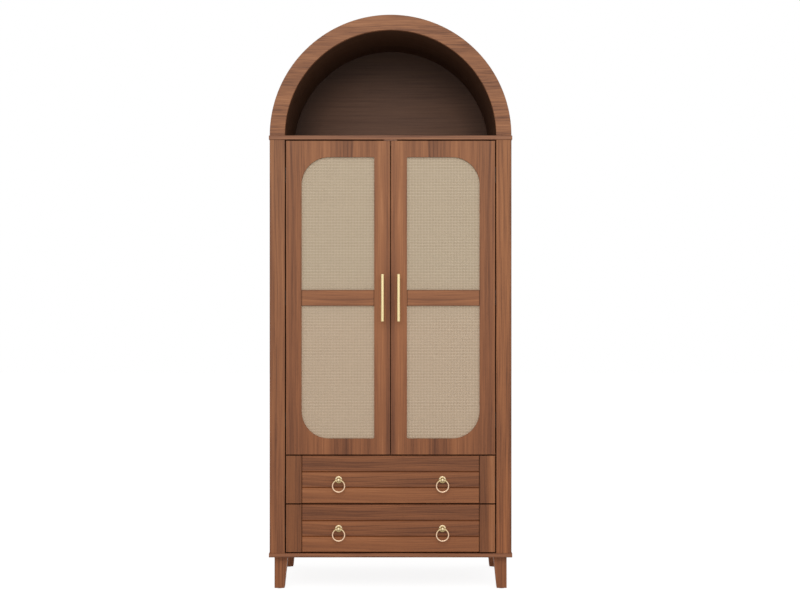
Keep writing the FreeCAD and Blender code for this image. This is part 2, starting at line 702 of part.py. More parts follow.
def make_mid_rail():
    """Rail between the two windows of the left door, rebated behind on both edges."""
    rail = rounded_panel("left_door_mid_rail", window_x(), ("place.front", "place.door_back"),
                         ("place.mid_rail_bottom", "place.mid_rail_top"))
    behind = ("place.cane_front", "place.door_back + dims.cut_overrun")
    past = window_x("dims.cut_overrun")
    taken(rail, "mid_rail_lower_rebate", past, behind,
          ("place.mid_rail_bottom - dims.cut_overrun", "place.mid_rail_bottom + dims.rebate_width"))
    taken(rail, "mid_rail_upper_rebate", past, behind,
          ("place.mid_rail_top - dims.rebate_width", "place.mid_rail_top + dims.cut_overrun"))
    return rail


def make_cane_and_retainers():
    """Two cane sheets in the rebates of the left door, each held by a retainer frame behind it."""
    margin = "dims.rebate_width - dims.cane_clearance"
    grow = (margin, dims.get("rebate_width") - dims.get("cane_clearance"))
    sheets = []
    retainers = []
    for which, (low, high) in WINDOWS.items():
        z = (f"{low} - ({margin})", f"{high} + ({margin})")
        sheet = new_body(f"{which}_cane")
        added(sheet, f"{which}_cane_blank", window_x(margin), ("place.cane_front", "place.cane_back"), z)
        round_window(sheet, f"{which}_cane", which, grow)
        sheets.append(sheet)

        retainer = new_body(f"{which}_retainer")
        added(retainer, f"{which}_retainer_blank", window_x(margin),
              ("place.cane_back", "place.door_back"), z)
        taken(retainer, f"{which}_retainer_window", window_x(),
              ("place.cane_back - dims.cut_overrun", "place.door_back + dims.cut_overrun"), (low, high))
        round_window(retainer, f"{which}_retainer_window", which, ("0", 0))
        round_window(retainer, f"{which}_retainer", which, grow)
        retainers.append(retainer)
    return group("left_door_cane", *sheets), group("left_door_cane_retainers", *retainers)


def handle_x():
    return "-(place.door_inner + dims.handle_inset)"


def post_heights():
    middle = "place.door_bottom + dims.handle_rise"
    reach = "(dims.handle_length / 2 - dims.post_inset)"
    return [f"{middle} - {reach}", f"{middle} + {reach}"]


def make_handle():
    """Bar on two posts, and the screws that hold it from inside the left door."""
    bar_y = "place.front - dims.handle_reach + dims.handle_radius"
    bar_bottom = "place.door_bottom + dims.handle_rise - dims.handle_length / 2"
    bar = new_body("handle_bar")
    rod("bar_blank", (handle_x(), bar_y, bar_bottom), "dims.handle_length", "dims.handle_radius",
        ALONG_Z, bar, "PartDesign::AdditiveCylinder")
    low = at("door_bottom") + dims.get("handle_rise") - dims.get("handle_length") / 2
    high = low + dims.get("handle_length")
    chamfer_edges(bar, "bar_ends", lambda point: near(point.z, low) or near(point.z, high),
                  "dims.handle_chamfer")
    posts = []
    holes = []
    screws = []
    post_length = "dims.handle_reach - dims.handle_radius"
    for index, height in enumerate(post_heights()):
        posts.append(rod(f"handle_post_{index}", (handle_x(), bar_y, height), post_length,
                         "dims.post_radius", ALONG_Y))
        holes.append(rod(f"post_hole_{index}",
                         (handle_x(), "place.front - dims.screw_depth - dims.stud_clearance", height),
                         "dims.screw_depth + dims.stud_clearance + dims.cut_overrun",
                         "dims.screw_radius + dims.stud_clearance", ALONG_Y))
        shank = rod(f"handle_shank_{index}", (handle_x(), "place.front - dims.screw_depth", height),
                    "dims.screw_depth + dims.door_thickness + dims.screw_head_height / 2",
                    "dims.screw_radius", ALONG_Y)
        head = rod(f"handle_screw_head_{index}", (handle_x(), "place.door_back", height),
                   "dims.screw_head_height", "dims.screw_head_radius", ALONG_Y)
        screws.append(fuse(f"handle_screw_{index}", shank, head))
    handle = cut("left_door_handle", fuse("handle_solid", bar, *posts), *holes)
    return handle, group("left_door_handle_screws", *screws)


def make_hinges():
    """Concealed hinges of the left door: a cup with its pin on the door, an arm on the inner panel."""
    cups = []
    arms = []
    cup_x = "-(place.door_outer - dims.cup_inset)"
    pin_offset = "(dims.cup_inset - dims.pin_inset)"
    for index, height in enumerate(HINGE_HEIGHTS):
        outside = rod(f"cup_outside_{index}", (cup_x, "place.door_back - dims.cup_depth", height),
                      "dims.cup_depth", "dims.cup_radius", ALONG_Y)
        hollow = rod(f"cup_hollow_{index}",
                     (cup_x, "place.door_back - dims.cup_depth + dims.cup_wall", height),
                     "dims.cup_depth + dims.cut_overrun", "dims.cup_radius - dims.cup_wall", ALONG_Y)
        flange = block(f"cup_flange_{index}",
                       (f"{cup_x} - dims.flange_width / 2", f"{cup_x} + dims.flange_width / 2"),
                       ("place.door_back", "place.door_back + dims.flange_thickness"),
                       (f"{height} - dims.flange_length / 2", f"{height} + dims.flange_length / 2"))
        shell = cut(f"cup_shell_{index}", fuse(f"cup_solid_{index}", outside, flange), hollow)
        long_pin = rod(f"long_pin_{index}", ("-place.pin_x", "place.pin_y", f"{height} - dims.cup_radius"),
                       "2 * dims.cup_radius", "dims.pin_radius", ALONG_Z)
        pin = doc.addObject("Part::Common", f"hinge_pin_{index}")
        pin.Base = long_pin
        pin.Tool = outside
        cups.append(fuse(f"hinge_cup_{index}", shell, pin))
        arms.append(make_hinge_arm(index, height))
    node("hinge_arms", group("hinge_arms", *arms, *[mirror(f"{arm.Name}_right", arm) for arm in arms]))
    return group("left_door_hinge_cups", *cups)


def make_hinge_arm(index, height):
    """Gooseneck arm: from its plate behind the door, round into the cup and back to the pin."""
    def bar(name, x, y, width):
        z = (f"{height} - {width} / 2", f"{height} + {width} / 2")
        return block(f"{name}_{index}", x, y, z)

    pin_x = "-place.pin_x"
    pin_y = "place.pin_y"
    half = "dims.arm_thickness / 2"
    behind = f"{pin_y} + dims.arm_setback"
    far = f"{pin_x} + dims.arm_reach"
    plate = bar("arm_plate", ("-place.inner_x", "-place.inner_x + dims.arm_plate_thickness"),
                (behind, f"{behind} + dims.arm_plate_length"), "dims.arm_plate_height")
    run = bar("arm_run", ("-place.inner_x", far), (behind, f"{behind} + dims.arm_thickness"),
              "dims.arm_width")
    neck = bar("arm_neck", (f"{far} - dims.arm_thickness", far),
               (f"{pin_y} - {half}", f"{behind} + dims.arm_thickness"), "dims.arm_width")
    tongue = bar("arm_tongue", (pin_x, far), (f"{pin_y} - {half}", f"{pin_y} + {half}"),
                 "dims.arm_width")
    start = (pin_x, pin_y, f"{height} - dims.arm_width / 2")
    knuckle = rod(f"arm_knuckle_{index}", start, "dims.arm_width", "dims.knuckle_radius", ALONG_Z)
    bore = rod(f"arm_bore_{index}", (pin_x, pin_y, f"{height} - dims.arm_width"),
               "2 * dims.arm_width", "dims.pin_radius + dims.pin_clearance", ALONG_Z)
    return cut(f"hinge_arm_{index}", fuse(f"arm_solid_{index}", plate, run, neck, tongue, knuckle), bore)


def make_strike_plate():
    """Steel plate on the back of the left door, in front of the catch's magnet."""
    inner = "-(place.door_inner + dims.strike_edge_distance)"
    top = "place.door_top - dims.strike_edge_distance"
    return block("left_door_strike_plate", (f"{inner} - dims.strike_width", inner),
                 ("place.door_back", "place.door_back + dims.strike_thickness"),
                 (f"{top} - dims.strike_height", top))


def make_doors():
    """Left door and its mirror image."""
    cane, retainers = make_cane_and_retainers()
    handle, screws = make_handle()
    for name, piece in (("frame", make_door_frame()), ("mid_rail", make_mid_rail()), ("cane", cane),
                        ("cane_retainers", retainers), ("handle", handle), ("handle_screws", screws),
                        ("hinge_cups", make_hinges()), ("strike_plate", make_strike_plate())):
        both_sides("door_" + name, piece)


def make_drawer(name, bottom):
    """A drawer: box, panelled front, the drawer members of its runners, and the ring pull mounts."""
    top = f"{bottom} + dims.drawer_front_height"
    box_bottom = f"{bottom} + dims.box_rise"
    box_top = f"{box_bottom} + dims.box_height"
    box_rear = "place.door_back + dims.box_depth"
    inside = "(place.box_outer - dims.box_wall)"
    face = ("place.front", "place.sub_front")

    side = block(f"{name}_box_side", ("-place.box_outer", f"-{inside}"),
                 ("place.door_back", box_rear), (box_bottom, box_top))
    back = block(f"{name}_box_back", (f"-{inside}", inside), (f"{box_rear} - dims.box_wall", box_rear),
                 (box_bottom, box_top))
    node(f"{name}_box_walls", group(f"{name}_box_walls", side, mirror(f"{name}_box_side_right", side),
                                    back))
    floor = f"{box_bottom} + dims.box_bottom_rise"
    node(f"{name}_bottom", block(f"{name}_bottom", (f"-{inside}", inside),
                                 ("place.door_back", f"{box_rear} - dims.box_wall"),
                                 (floor, f"{floor} + dims.box_bottom_thickness")))

    sub_front = block(f"{name}_sub_front_blank", ("-place.door_outer", "place.door_outer"),
                      ("place.sub_front", "place.door_back"), (bottom, top))
    holes = pull_stud_holes(f"{name}_sub_front", bottom)
    node(f"{name}_sub_front", cut(f"{name}_sub_front", sub_front, *holes))

    stile = rounded_panel(f"{name}_stile", ("-place.door_outer", "-place.plank_end"), face, (bottom, top))
    node(f"{name}_front_stiles", group(f"{name}_front_stiles", stile,
                                       mirror(f"{name}_stile_right", stile)))
    planks = [make_plank(f"{name}_plank_{index}", bottom, index) for index in range(PLANKS)]
    node(f"{name}_front_planks", group(f"{name}_front_planks", *planks))

    middle = f"{box_bottom} + dims.box_height / 2"
    node(f"{name}_runners", make_drawer_members(name, middle))
    node(f"{name}_pull_mounts", make_pull_mounts(name, bottom))
    for sign, hand in (("-", "left"), ("", "right")):
        label = f"{name.split('_')[0]}_{hand}_pull_ring"
        node(label, make_ring(label, f"{sign}dims.pull_spacing / 2", bottom))


def make_plank(name, bottom, index):
    """One chamfered plank of a drawer front; the middle one takes the studs of the pulls."""
    pitch = f"dims.drawer_front_height / {PLANKS}"
    x = ("-place.plank_end + dims.plank_end_gap", "place.plank_end - dims.plank_end_gap")
    plank = new_body(name)
    added(plank, f"{name}_blank", x, ("place.front", "place.sub_front"),
          (f"{bottom} + {index} * {pitch}", f"{bottom} + {index + 1} * {pitch}"))
    chamfer_edges(plank, f"{name}_chamfer", on_front, "dims.plank_chamfer")
    if index != PLANKS // 2:
        return plank
    return cut(f"{name}_drilled", plank, *pull_stud_holes(name, bottom))


def pull_height(bottom):
    return f"{bottom} + dims.drawer_front_height / 2"


def pull_stud_holes(name, bottom):
    """Holes through a drawer front for the studs of its two ring pulls."""
    left = rod(f"{name}_pull_hole",
               ("-dims.pull_spacing / 2", "place.front - dims.cut_overrun", pull_height(bottom)),
               "dims.door_thickness + 2 * dims.cut_overrun", "dims.screw_radius + dims.stud_clearance",
               ALONG_Y)
    return [left, mirror(f"{name}_pull_hole_right", left)]


def make_pull_mounts(name, bottom):
    """Rosette, neck and ball with its stud, and the nut behind the drawer front; left and right."""
    x = "-dims.pull_spacing / 2"
    z = pull_height(bottom)
    rosette = new_body(f"{name}_rosette")
    rod(f"{name}_rosette_disc", (x, "place.front - dims.rosette_thickness", z),
        "dims.rosette_thickness", "dims.rosette_radius", ALONG_Y, rosette,
        "PartDesign::AdditiveCylinder")
    face = at("front") - dims.get("rosette_thickness")
    round_edges(rosette, f"{name}_rosette_edge", lambda point: near(point.y, face), "dims.rosette_round")
    neck = rod(f"{name}_neck", (x, "place.front - dims.ball_reach", z),
               "dims.ball_reach - dims.rosette_thickness / 2", "dims.neck_radius", ALONG_Y)
    ball = doc.addObject("Part::Sphere", f"{name}_ball")
    for axis, formula in zip("xyz", (x, "place.front - dims.ball_reach", z)):
        ball.setExpression(f"Placement.Base.{axis}", formula)
    ball.setExpression("Radius", "dims.ball_radius")
    bore = rod(f"{name}_ball_bore",
               (f"{x} - dims.ball_radius - dims.cut_overrun", "place.front - dims.ball_reach", z),
               "2 * (dims.ball_radius + dims.cut_overrun)", "dims.ball_bore_radius", ALONG_X)
    stud = rod(f"{name}_pull_stud", (x, "place.front - dims.rosette_thickness / 2", z),
               "dims.rosette_thickness / 2 + dims.door_thickness + dims.nut_thickness",
               "dims.screw_radius", ALONG_Y)
    mount = cut(f"{name}_pull_mount", fuse(f"{name}_pull_solid", rosette, neck, ball, stud), bore)

    blank = doc.addObject("Part::Prism", f"{name}_nut_blank")
    blank.Placement = FreeCAD.Placement(FreeCAD.Vector(), ALONG_Y)
    for axis, formula in zip("xyz", (x, "place.door_back", z)):
        blank.setExpression(f"Placement.Base.{axis}", formula)
    blank.setExpression("Circumradius", "dims.nut_radius")
    blank.setExpression("Height", "dims.nut_thickness")
    hole = rod(f"{name}_nut_hole", (x, "place.door_back - dims.cut_overrun", z),
               "dims.nut_thickness + 2 * dims.cut_overrun", "dims.screw_radius + dims.stud_clearance",
               ALONG_Y)
    nut = cut(f"{name}_nut", blank, hole)
    return group(f"{name}_pull_mounts", mount, mirror(f"{name}_pull_mount_right", mount), nut,
                 mirror(f"{name}_nut_right", nut))


def make_ring(name, x, bottom):
    """Ring that hangs from the middle of its ball."""
    ring = doc.addObject("Part::Torus", name)
    ring.Placement = FreeCAD.Placement(FreeCAD.Vector(), ALONG_Y)
    ring.setExpression("Placement.Base.x", x)
    ring.setExpression("Placement.Base.y", "place.front - dims.ball_reach")
    ring.setExpression("Placement.Base.z", f"{pull_height(bottom)} - dims.ring_radius")
    ring.setExpression("Radius1", "dims.ring_radius")
    ring.setExpression("Radius2", "dims.ring_wire_radius")
    return ring


def make_drawer_members(name, middle):
    """Channel on each side of a drawer box, open towards the inner panel."""
    half = "(dims.runner_height / 2 - dims.runner_wall - dims.runner_clearance)"
    outer = "-place.inner_x + dims.runner_wall + dims.runner_clearance"
    y = ("place.door_back", "place.door_back + dims.runner_length")
    solid = block(f"{name}_member_solid", (outer, "-place.box_outer"), y,
                  (f"{middle} - {half}", f"{middle} + {half}"))
    hollow = block(f"{name}_member_hollow",
                   (f"{outer} - dims.cut_overrun", "-place.box_outer - dims.runner_wall"),
                   ("place.door_back - dims.cut_overrun",
                    "place.door_back + dims.runner_length + dims.cut_overrun"),
                   (f"{middle} - {half} + dims.runner_wall", f"{middle} + {half} - dims.runner_wall"))
    member = cut(f"{name}_member", solid, hollow)
    return group(f"{name}_runners", member, mirror(f"{name}_member_right", member))


def make_cabinet_runners():
    """Channel on each inner panel that a drawer's own channel slides in."""
    members = []
    y = ("place.front + dims.shelf_setback", "place.front + dims.shelf_setback + dims.runner_length")
    past = [f"{y[0]} - dims.cut_overrun", f"{y[1]} + dims.cut_overrun"]
    far = "-place.inner_x + dims.runner_depth"
    for name, bottom in (("upper", "place.upper_drawer_bottom"), ("lower", "place.lower_drawer_bottom")):
        middle = f"{bottom} + dims.box_rise + dims.box_height / 2"
        half = "dims.runner_height / 2"
        solid = block(f"{name}_channel_solid", ("-place.inner_x", far), y,
                      (f"{middle} - {half}", f"{middle} + {half}"))
        hollow = block(f"{name}_channel_hollow",
                       ("-place.inner_x + dims.runner_wall", f"{far} + dims.cut_overrun"), past,
                       (f"{middle} - {half} + dims.runner_wall",
                        f"{middle} + {half} - dims.runner_wall"))
        channel = cut(f"{name}_channel", solid, hollow)
        members += [channel, mirror(f"{name}_channel_right", channel)]
    node("cabinet_runners", group("cabinet_runners", *members))


def check_and_export():
    """Stop on any failed object or bad shape, then write one STEP file for each node."""
    doc.recompute()
    for item in doc.Objects:
        if {"Invalid", "Error"} & set(item.State):
            raise RuntimeError(f"{item.Label} failed: {item.State}")
    for piece in nodes:
        if piece.Shape.isNull() or not piece.Shape.isValid():
            raise RuntimeError(f"{piece.Label} has no valid shape")
    os.makedirs("parts", exist_ok=True)
    for piece in nodes:
        piece.Shape.exportStep(f"parts/{piece.Label}.step")
        print(f"{piece.Label}: {len(piece.Shape.Solids)} solids, {piece.Shape.Volume:.0f} mm3")
    box = Part.makeCompound([piece.Shape for piece in nodes]).BoundBox
    print(f"{len(nodes)} nodes, x {box.XMin:.2f} {box.XMax:.2f}, y {box.YMin:.2f} {box.YMax:.2f}, "
          f"z {box.ZMin:.2f} {box.ZMax:.2f}")


fill_sheet()
fill_places()
make_boards()
make_sides()
make_back()
make_shelf()
make_arch()
make_legs()
make_hanging_rail()
make_catch()
make_doors()
make_drawer("upper_drawer", "place.upper_drawer_bottom")
make_drawer("lower_drawer", "place.lower_drawer_bottom")
make_cabinet_runners()
check_and_export()
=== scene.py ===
import math
from collections import namedtuple

import bmesh
import bpy
from mathutils import Matrix, Vector


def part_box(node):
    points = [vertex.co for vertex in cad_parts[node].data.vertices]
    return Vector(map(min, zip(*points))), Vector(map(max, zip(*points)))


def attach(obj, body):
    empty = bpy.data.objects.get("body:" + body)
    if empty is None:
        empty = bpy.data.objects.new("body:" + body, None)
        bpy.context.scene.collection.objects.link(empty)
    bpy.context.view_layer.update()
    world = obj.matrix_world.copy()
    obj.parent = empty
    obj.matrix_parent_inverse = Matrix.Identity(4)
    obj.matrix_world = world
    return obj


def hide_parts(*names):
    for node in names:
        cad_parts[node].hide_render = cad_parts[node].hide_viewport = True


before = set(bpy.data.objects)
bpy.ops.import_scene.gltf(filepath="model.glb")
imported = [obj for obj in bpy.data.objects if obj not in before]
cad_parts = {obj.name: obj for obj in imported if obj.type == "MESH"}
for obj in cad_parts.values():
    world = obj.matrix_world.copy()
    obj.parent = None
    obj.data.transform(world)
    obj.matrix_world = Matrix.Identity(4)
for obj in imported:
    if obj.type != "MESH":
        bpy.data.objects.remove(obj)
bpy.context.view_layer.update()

Corner = namedtuple("Corner", "x y z")


def corners(node):
    """The lowest and highest corner of a CAD node, in metres, to the nearest micrometre."""
    return [Corner(*(round(part, 6) for part in corner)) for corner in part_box(node)]


# Places and sizes read from the frame; of twin pieces, from the right or the lower one
DOOR_LOW, DOOR_HIGH = corners("right_door_frame")
MID_RAIL_LOW, MID_RAIL_HIGH = corners("right_door_mid_rail")
CANE_LOW, CANE_HIGH = corners("right_door_cane")
DRAWER_LOW, DRAWER_HIGH = corners("lower_drawer_sub_front")
RING_LOW, RING_HIGH = corners("arch_front_ring")
STILE_LOW, STILE_HIGH = corners("right_front_stile")
FACE_Y = DOOR_LOW.y
DOOR_OUTER_X = DOOR_HIGH.x
DOOR_BOTTOM = DOOR_LOW.z
DOOR_TOP = DOOR_HIGH.z
INNER_X = STILE_LOW.x
STILE_OUTER_X = STILE_HIGH.x
NICHE_BACK_Y = corners("niche_back_panel")[0].y
BOTTOM_BOARD_LOW = corners("bottom_board")[0].z
DRAWER_BOTTOMS = {drawer: corners(f"{drawer}_sub_front")[0].z
                  for drawer in ("lower_drawer", "upper_drawer")}
DRAWER_HEIGHT = DRAWER_HIGH.z - DRAWER_LOW.z
ARCH_CENTRE_Z = RING_LOW.z
ARCH_RADIUS = RING_HIGH.x
WINDOW_INNER_X = MID_RAIL_LOW.x
WINDOW_OUTER_X = MID_RAIL_HIGH.x
CANE_MARGIN = CANE_HIGH.x - WINDOW_OUTER_X
WINDOWS = {"upper": (MID_RAIL_HIGH.z, CANE_HIGH.z - CANE_MARGIN),
           "lower": (CANE_LOW.z + CANE_MARGIN, MID_RAIL_LOW.z)}


# Colours and node trees

def srgb(red, green, blue):
    """Linear colour of an 8-bit screen colour."""
    def linear(value):
        share = value / 255
        return share / 12.92 if share <= 0.04045 else ((share + 0.055) / 1.055) ** 2.4
    return linear(red), linear(green), linear(blue), 1.0


def even(scale):
    """The same scale in all three directions."""
    return scale, scale, scale


class Graph:
    """The node tree of one new material or world, and short calls that add nodes to it."""

    def __init__(self, name, owners=None):
        self.owner = (bpy.data.materials if owners is None else owners).new(name)
        self.owner.use_nodes = True
        self.tree = self.owner.node_tree
        self.tree.nodes.clear()

    def feed(self, socket, value):
        if isinstance(value, bpy.types.NodeSocket):
            self.tree.links.new(value, socket)
        else:
            socket.default_value = value

    def add(self, kind, inputs=None, **settings):
        node = self.tree.nodes.new("ShaderNode" + kind)
        for name, value in settings.items():
            setattr(node, name, value)
        for name, value in (inputs or {}).items():
            self.feed(node.inputs[name], value)
        return node

    def math(self, operation, first, second=0.0):
        return self.add("Math", {0: first, 1: second}, operation=operation).outputs[0]

    def distance(self, first, second):
        return self.math("ABSOLUTE", self.math("SUBTRACT", first, second))

    def swing(self, noise, gain):
        """A noise moved to both sides of zero, times gain."""
        return self.math("MULTIPLY", self.math("SUBTRACT", noise, 0.5), gain)

    def place(self):
        """Where a point of the surface lies, in metres."""
        return self.add("TexCoord").outputs["Object"]

    def axes(self):
        """x, y and z of that place."""
        return list(self.add("SeparateXYZ", {0: self.place()}).outputs)

    def vector(self, x, y, z):
        return self.add("CombineXYZ", {0: x, 1: y, 2: z}).outputs[0]

    def product(self, first, second):
        """Two vectors or colours, or one and a grey factor, multiplied part by part."""
        return self.add("VectorMath", {0: first, 1: second}, operation="MULTIPLY").outputs[0]

    def noise(self, place, scale, detail=2.0, roughness=0.5):
        """A noise of place times scale, one number for each direction."""
        inputs = {"Vector": self.product(place, scale), "Scale": 1.0, "Detail": detail,
                  "Roughness": roughness}
        return self.add("TexNoise", inputs).outputs[0]

    def between(self, value, low, high, start=0.0, end=1.0, smooth=False):
        """value from low to high mapped on start to end, and held outside."""
        inputs = {"Value": value, "From Min": low, "From Max": high, "To Min": start, "To Max": end}
        kind = "SMOOTHSTEP" if smooth else "LINEAR"
        return self.add("MapRange", inputs, interpolation_type=kind).outputs[0]

    def spread(self, noise, start, end):
        """The middle range of a noise, where most of it lies, mapped on start to end."""
        return self.between(noise, 0.3, 0.7, start, end)

    def ramp(self, value, stops):
        node = self.add("ValToRGB", {"Fac": value})
        elements = node.color_ramp.elements
        while len(elements) < len(stops):
            elements.new(1.0)
        for element, (place, colour) in zip(elements, stops):
            element.position = place
            element.color = colour
        return node.outputs[0]

    def two_tones(self, value, share, first, last):
        """The first tone up to share, the last from 1 - share, and a slide between them."""
        return self.ramp(value, ((share, srgb(*first)), (1 - share, srgb(*last))))

    def bump(self, height, strength, distance):
        inputs = {"Height": height, "Strength": strength, "Distance": distance}
        return self.add("Bump", inputs).outputs[0]

    def output(self, kind, shader):
        self.add(kind, {0: shader.outputs[0]})
        return self.owner

    def surface(self, **inputs):
        named = {name.replace("_", " "): value for name, value in inputs.items()}
        return self.output("OutputMaterial", self.add("BsdfPrincipled", named))


# Walnut veneer

WALNUT = ((0.0, (92, 60, 44)), (0.25, (121, 80, 56)), (0.50, (145, 97, 66)),
          (0.72, (158, 107, 72)), (1.0, (180, 126, 88)))
# Painted light: between these heights the veneer turns redder and darker towards the floor
WARM_LOW_Z = 0.15
WARM_HIGH_Z = 1.65
WARM_GREEN = 0.87
WARM_BLUE = 0.80
WOOD_RELIEF = 0.0003

# Scales of the veneer's noises across, through and along the grain
BEND_SCALE = (4.0, 4.0, 1.6)
BROAD_SCALE = (42.0, 42.0, 1.3)
NARROW_SCALE = (150.0, 150.0, 3.0)
LINE_SCALE = (330.0, 330.0, 4.5)
PIN_SCALE = (210.0, 210.0, 1.1)
FIBRE_SCALE = (900.0, 900.0, 14.0)
PORE_SCALE = (1500.0, 1500.0, 60.0)

# How strongly they show, and from which values on pin stripes and pores do
BEND_REACH = 0.02
BROAD_GAIN = 0.7
NARROW_GAIN = 0.9
FIBRE_GAIN = 0.4
PIN_RANGE = (0.62, 0.74)
PIN_DARKNESS = 0.16
PORE_RANGE = (0.60, 0.68)
PORE_DARKNESS = 0.12
FIBRE_HEIGHT = 0.4


def walnut_stops(tone):
    """The veneer's colours times tone, one factor or one for each of red, green and blue."""
    factors = tone if isinstance(tone, tuple) else even(tone)
    stops = []
    for place, colour in WALNUT:
        linear = srgb(*colour)
        stops.append((place, tuple(part * by for part, by in zip(linear, factors)) + linear[3:]))
    return stops


def grain_place(g, grain, seed):
    """Where a point lies across, through and along the grain, in metres.

    grain is the axis that it follows, or arc for round the arch. seed is where in the veneer
    the board is cut."""
    x, y, z = g.axes()
    if grain == "x":
        across, through, along = z, y, x
    elif grain == "y":
        across, through, along = x, z, y
    elif grain == "z":
        across, through, along = x, y, z
    else:
        height = g.math("SUBTRACT", z, ARCH_CENTRE_Z)
        along = g.math("MULTIPLY", g.math("ARCTAN2", height, x), ARCH_RADIUS)
        across, through = y, g.math("MULTIPLY", x, 0.0)
    return g.math("ADD", across, seed), through, along


def soft_band(g, place, middle, width, depth):
    """A soft band, for figure, painted shade and painted highlight: depth at middle, fading over
    width.
    """
    return g.between(g.distance(place, middle), 0.0, width, depth, 0.0, smooth=True)


def banded(g, place, bands, start=0.0):
    """start with every band of a list, a middle, a width and a depth each, added to it."""
    figure = start
    for middle, width, depth in bands:
        figure = g.math("ADD", figure, soft_band(g, place, middle, width, depth))
    return figure


def warmed(g, colour):
    """Painted light: the colour turns a little redder and darker towards the floor."""
    height = g.axes()[2]
    green = g.between(height, WARM_LOW_Z, WARM_HIGH_Z, WARM_GREEN, 1.0)
    blue = g.between(height, WARM_LOW_Z, WARM_HIGH_Z, WARM_BLUE, 1.0)
    return g.product(colour, g.vector(1.0, green, blue))


def walnut_surface(g, across, through, along, tone=1.0, figure=None, busy=1.0, cathedral=0.0,
                   shade=None, fine=1.0):
    """Satin walnut: broad and narrow streaks, pin stripes, fibres and short pores along the grain.

    busy scales the broad and narrow noises, fine the lines and pin stripes, and cathedral
    bends the grain more. figure is added to the noises and holds bands of figure, painted shade
    and a painted highlight; shade darkens the colour with painted shade and dark joint lines."""
    bend = g.noise(g.vector(across, through, along), BEND_SCALE, 1.0)
    drift = g.swing(bend, BEND_REACH + cathedral)
    place = g.vector(g.math("ADD", across, drift), through, along)
    broad = g.noise(place, BROAD_SCALE, 2.0)
    narrow = g.noise(place, NARROW_SCALE, 3.0, 0.6)
    line = g.noise(place, LINE_SCALE, 2.0, 0.6)
    pin = g.noise(place, PIN_SCALE, 0.0)
    fibre = g.noise(place, FIBRE_SCALE, 3.0, 0.6)
    pore = g.noise(place, PORE_SCALE, 1.0)
    value = 0.5 if figure is None else g.math("ADD", figure, 0.5)
    for noise, gain in ((broad, BROAD_GAIN * busy), (narrow, NARROW_GAIN * busy), (line, fine),
                        (fibre, FIBRE_GAIN)):
        value = g.math("ADD", value, g.swing(noise, gain))
    open_pore = g.between(pore, *PORE_RANGE)
    value = g.math("SUBTRACT", value, g.between(pin, *PIN_RANGE, 0.0, PIN_DARKNESS * fine))
    value = g.math("SUBTRACT", value, g.math("MULTIPLY", open_pore, PORE_DARKNESS))
    colour = warmed(g, g.ramp(value, walnut_stops(tone)))
    if shade is not None:
        colour = g.product(colour, shade)
    height = g.math("SUBTRACT", g.math("MULTIPLY", fibre, FIBRE_HEIGHT), open_pore)
    return g.surface(
        Base_Color=colour,
        Roughness=g.spread(narrow, 0.56, 0.48),
        Specular_IOR_Level=0.2,
        Normal=g.bump(height, 0.12, WOOD_RELIEF),
    )


def walnut(name, grain, seed, tone=1.0):
    g = Graph(name)
    return walnut_surface(g, *grain_place(g, grain, seed), tone)


# Dark joint lines of the veneered boards, and painted shade in their gaps and along edges

# Painted shade on the narrow edges deep in the gaps between doors, stiles and drawer fronts
GAP_SHADE_TONE = (0.53, 0.33, 0.20)
# Distances from an edge over which the painted gap shade fades, and depths over which it sets in
GAP_EDGE = (0.0002, 0.0006)
GAP_DEPTH = (0.0008, 0.003)
# Reach and darkness of the dark joint lines at the ends of a board, and of the painted shade
# along the long edges of the door's mid rail
END_LINE = (0.0030, 0.10)
RAIL_EDGE_SHADE = (0.0045, 0.65)


def toned(g, share, tone):
    """A factor for colours: white where share is 0, tone where it is 1."""
    return g.vector(*(g.between(share, 0.0, 1.0, 1.0, part) for part in tone))


def gap_shade(g, y, edges):
    """White on faces and backs, painted shade on the narrow edges that face a gap, darkest deep in
    it.

    edges holds, for each gap, the coordinate that runs across it and where the edge lies."""
    near = 0.0
    for place, edge in edges:
        on_edge = g.between(g.distance(place, edge), *GAP_EDGE, 1.0, 0.0)
        near = g.math("MAXIMUM", near, on_edge)
    first, full = (FACE_Y + depth for depth in GAP_DEPTH)
    return toned(g, g.math("MULTIPLY", near, g.between(y, first, full)), GAP_SHADE_TONE)


def near_ends(g, place, ends, reach, darkness):
    """1 away from the ends of a board, darkness right at them."""
    shade = 1.0
    for end in ends:
        at_end = g.between(g.distance(place, end), 0.0, reach, darkness, 1.0)
        shade = g.math("MULTIPLY", at_end, shade)
    return shade


def front_edges(rise):
    """The level gaps of a drawer front, for gap_shade."""
    return [(rise, 0.0), (rise, DRAWER_HEIGHT)]


# Front stiles, with painted shade along the outer edge and bands of figure, placed by their
# distance from the middle of the wardrobe

LEFT_STILE_EDGE_SHADE = ((STILE_OUTER_X, 0.006, -0.12),)
RIGHT_STILE_STREAKS_AND_EDGE_SHADE = ((STILE_OUTER_X, 0.012, -0.42), (0.3740, 0.012, 0.08))


def stile_walnut(name, seed, tone, bands):
    """A front stile: painted shade along its outer edge and on its narrow side faces in the gaps.
    """
    g = Graph(name)
    x, y = g.axes()[:2]
    away = g.math("ABSOLUTE", x)
    figure = banded(g, away, bands)
    shade = gap_shade(g, y, [(away, INNER_X)])
    return walnut_surface(g, *grain_place(g, "z", seed), tone, figure, shade=shade)


# Doors, with bands of figure and a painted highlight along the outer edge, placed from the gap
# between them outwards

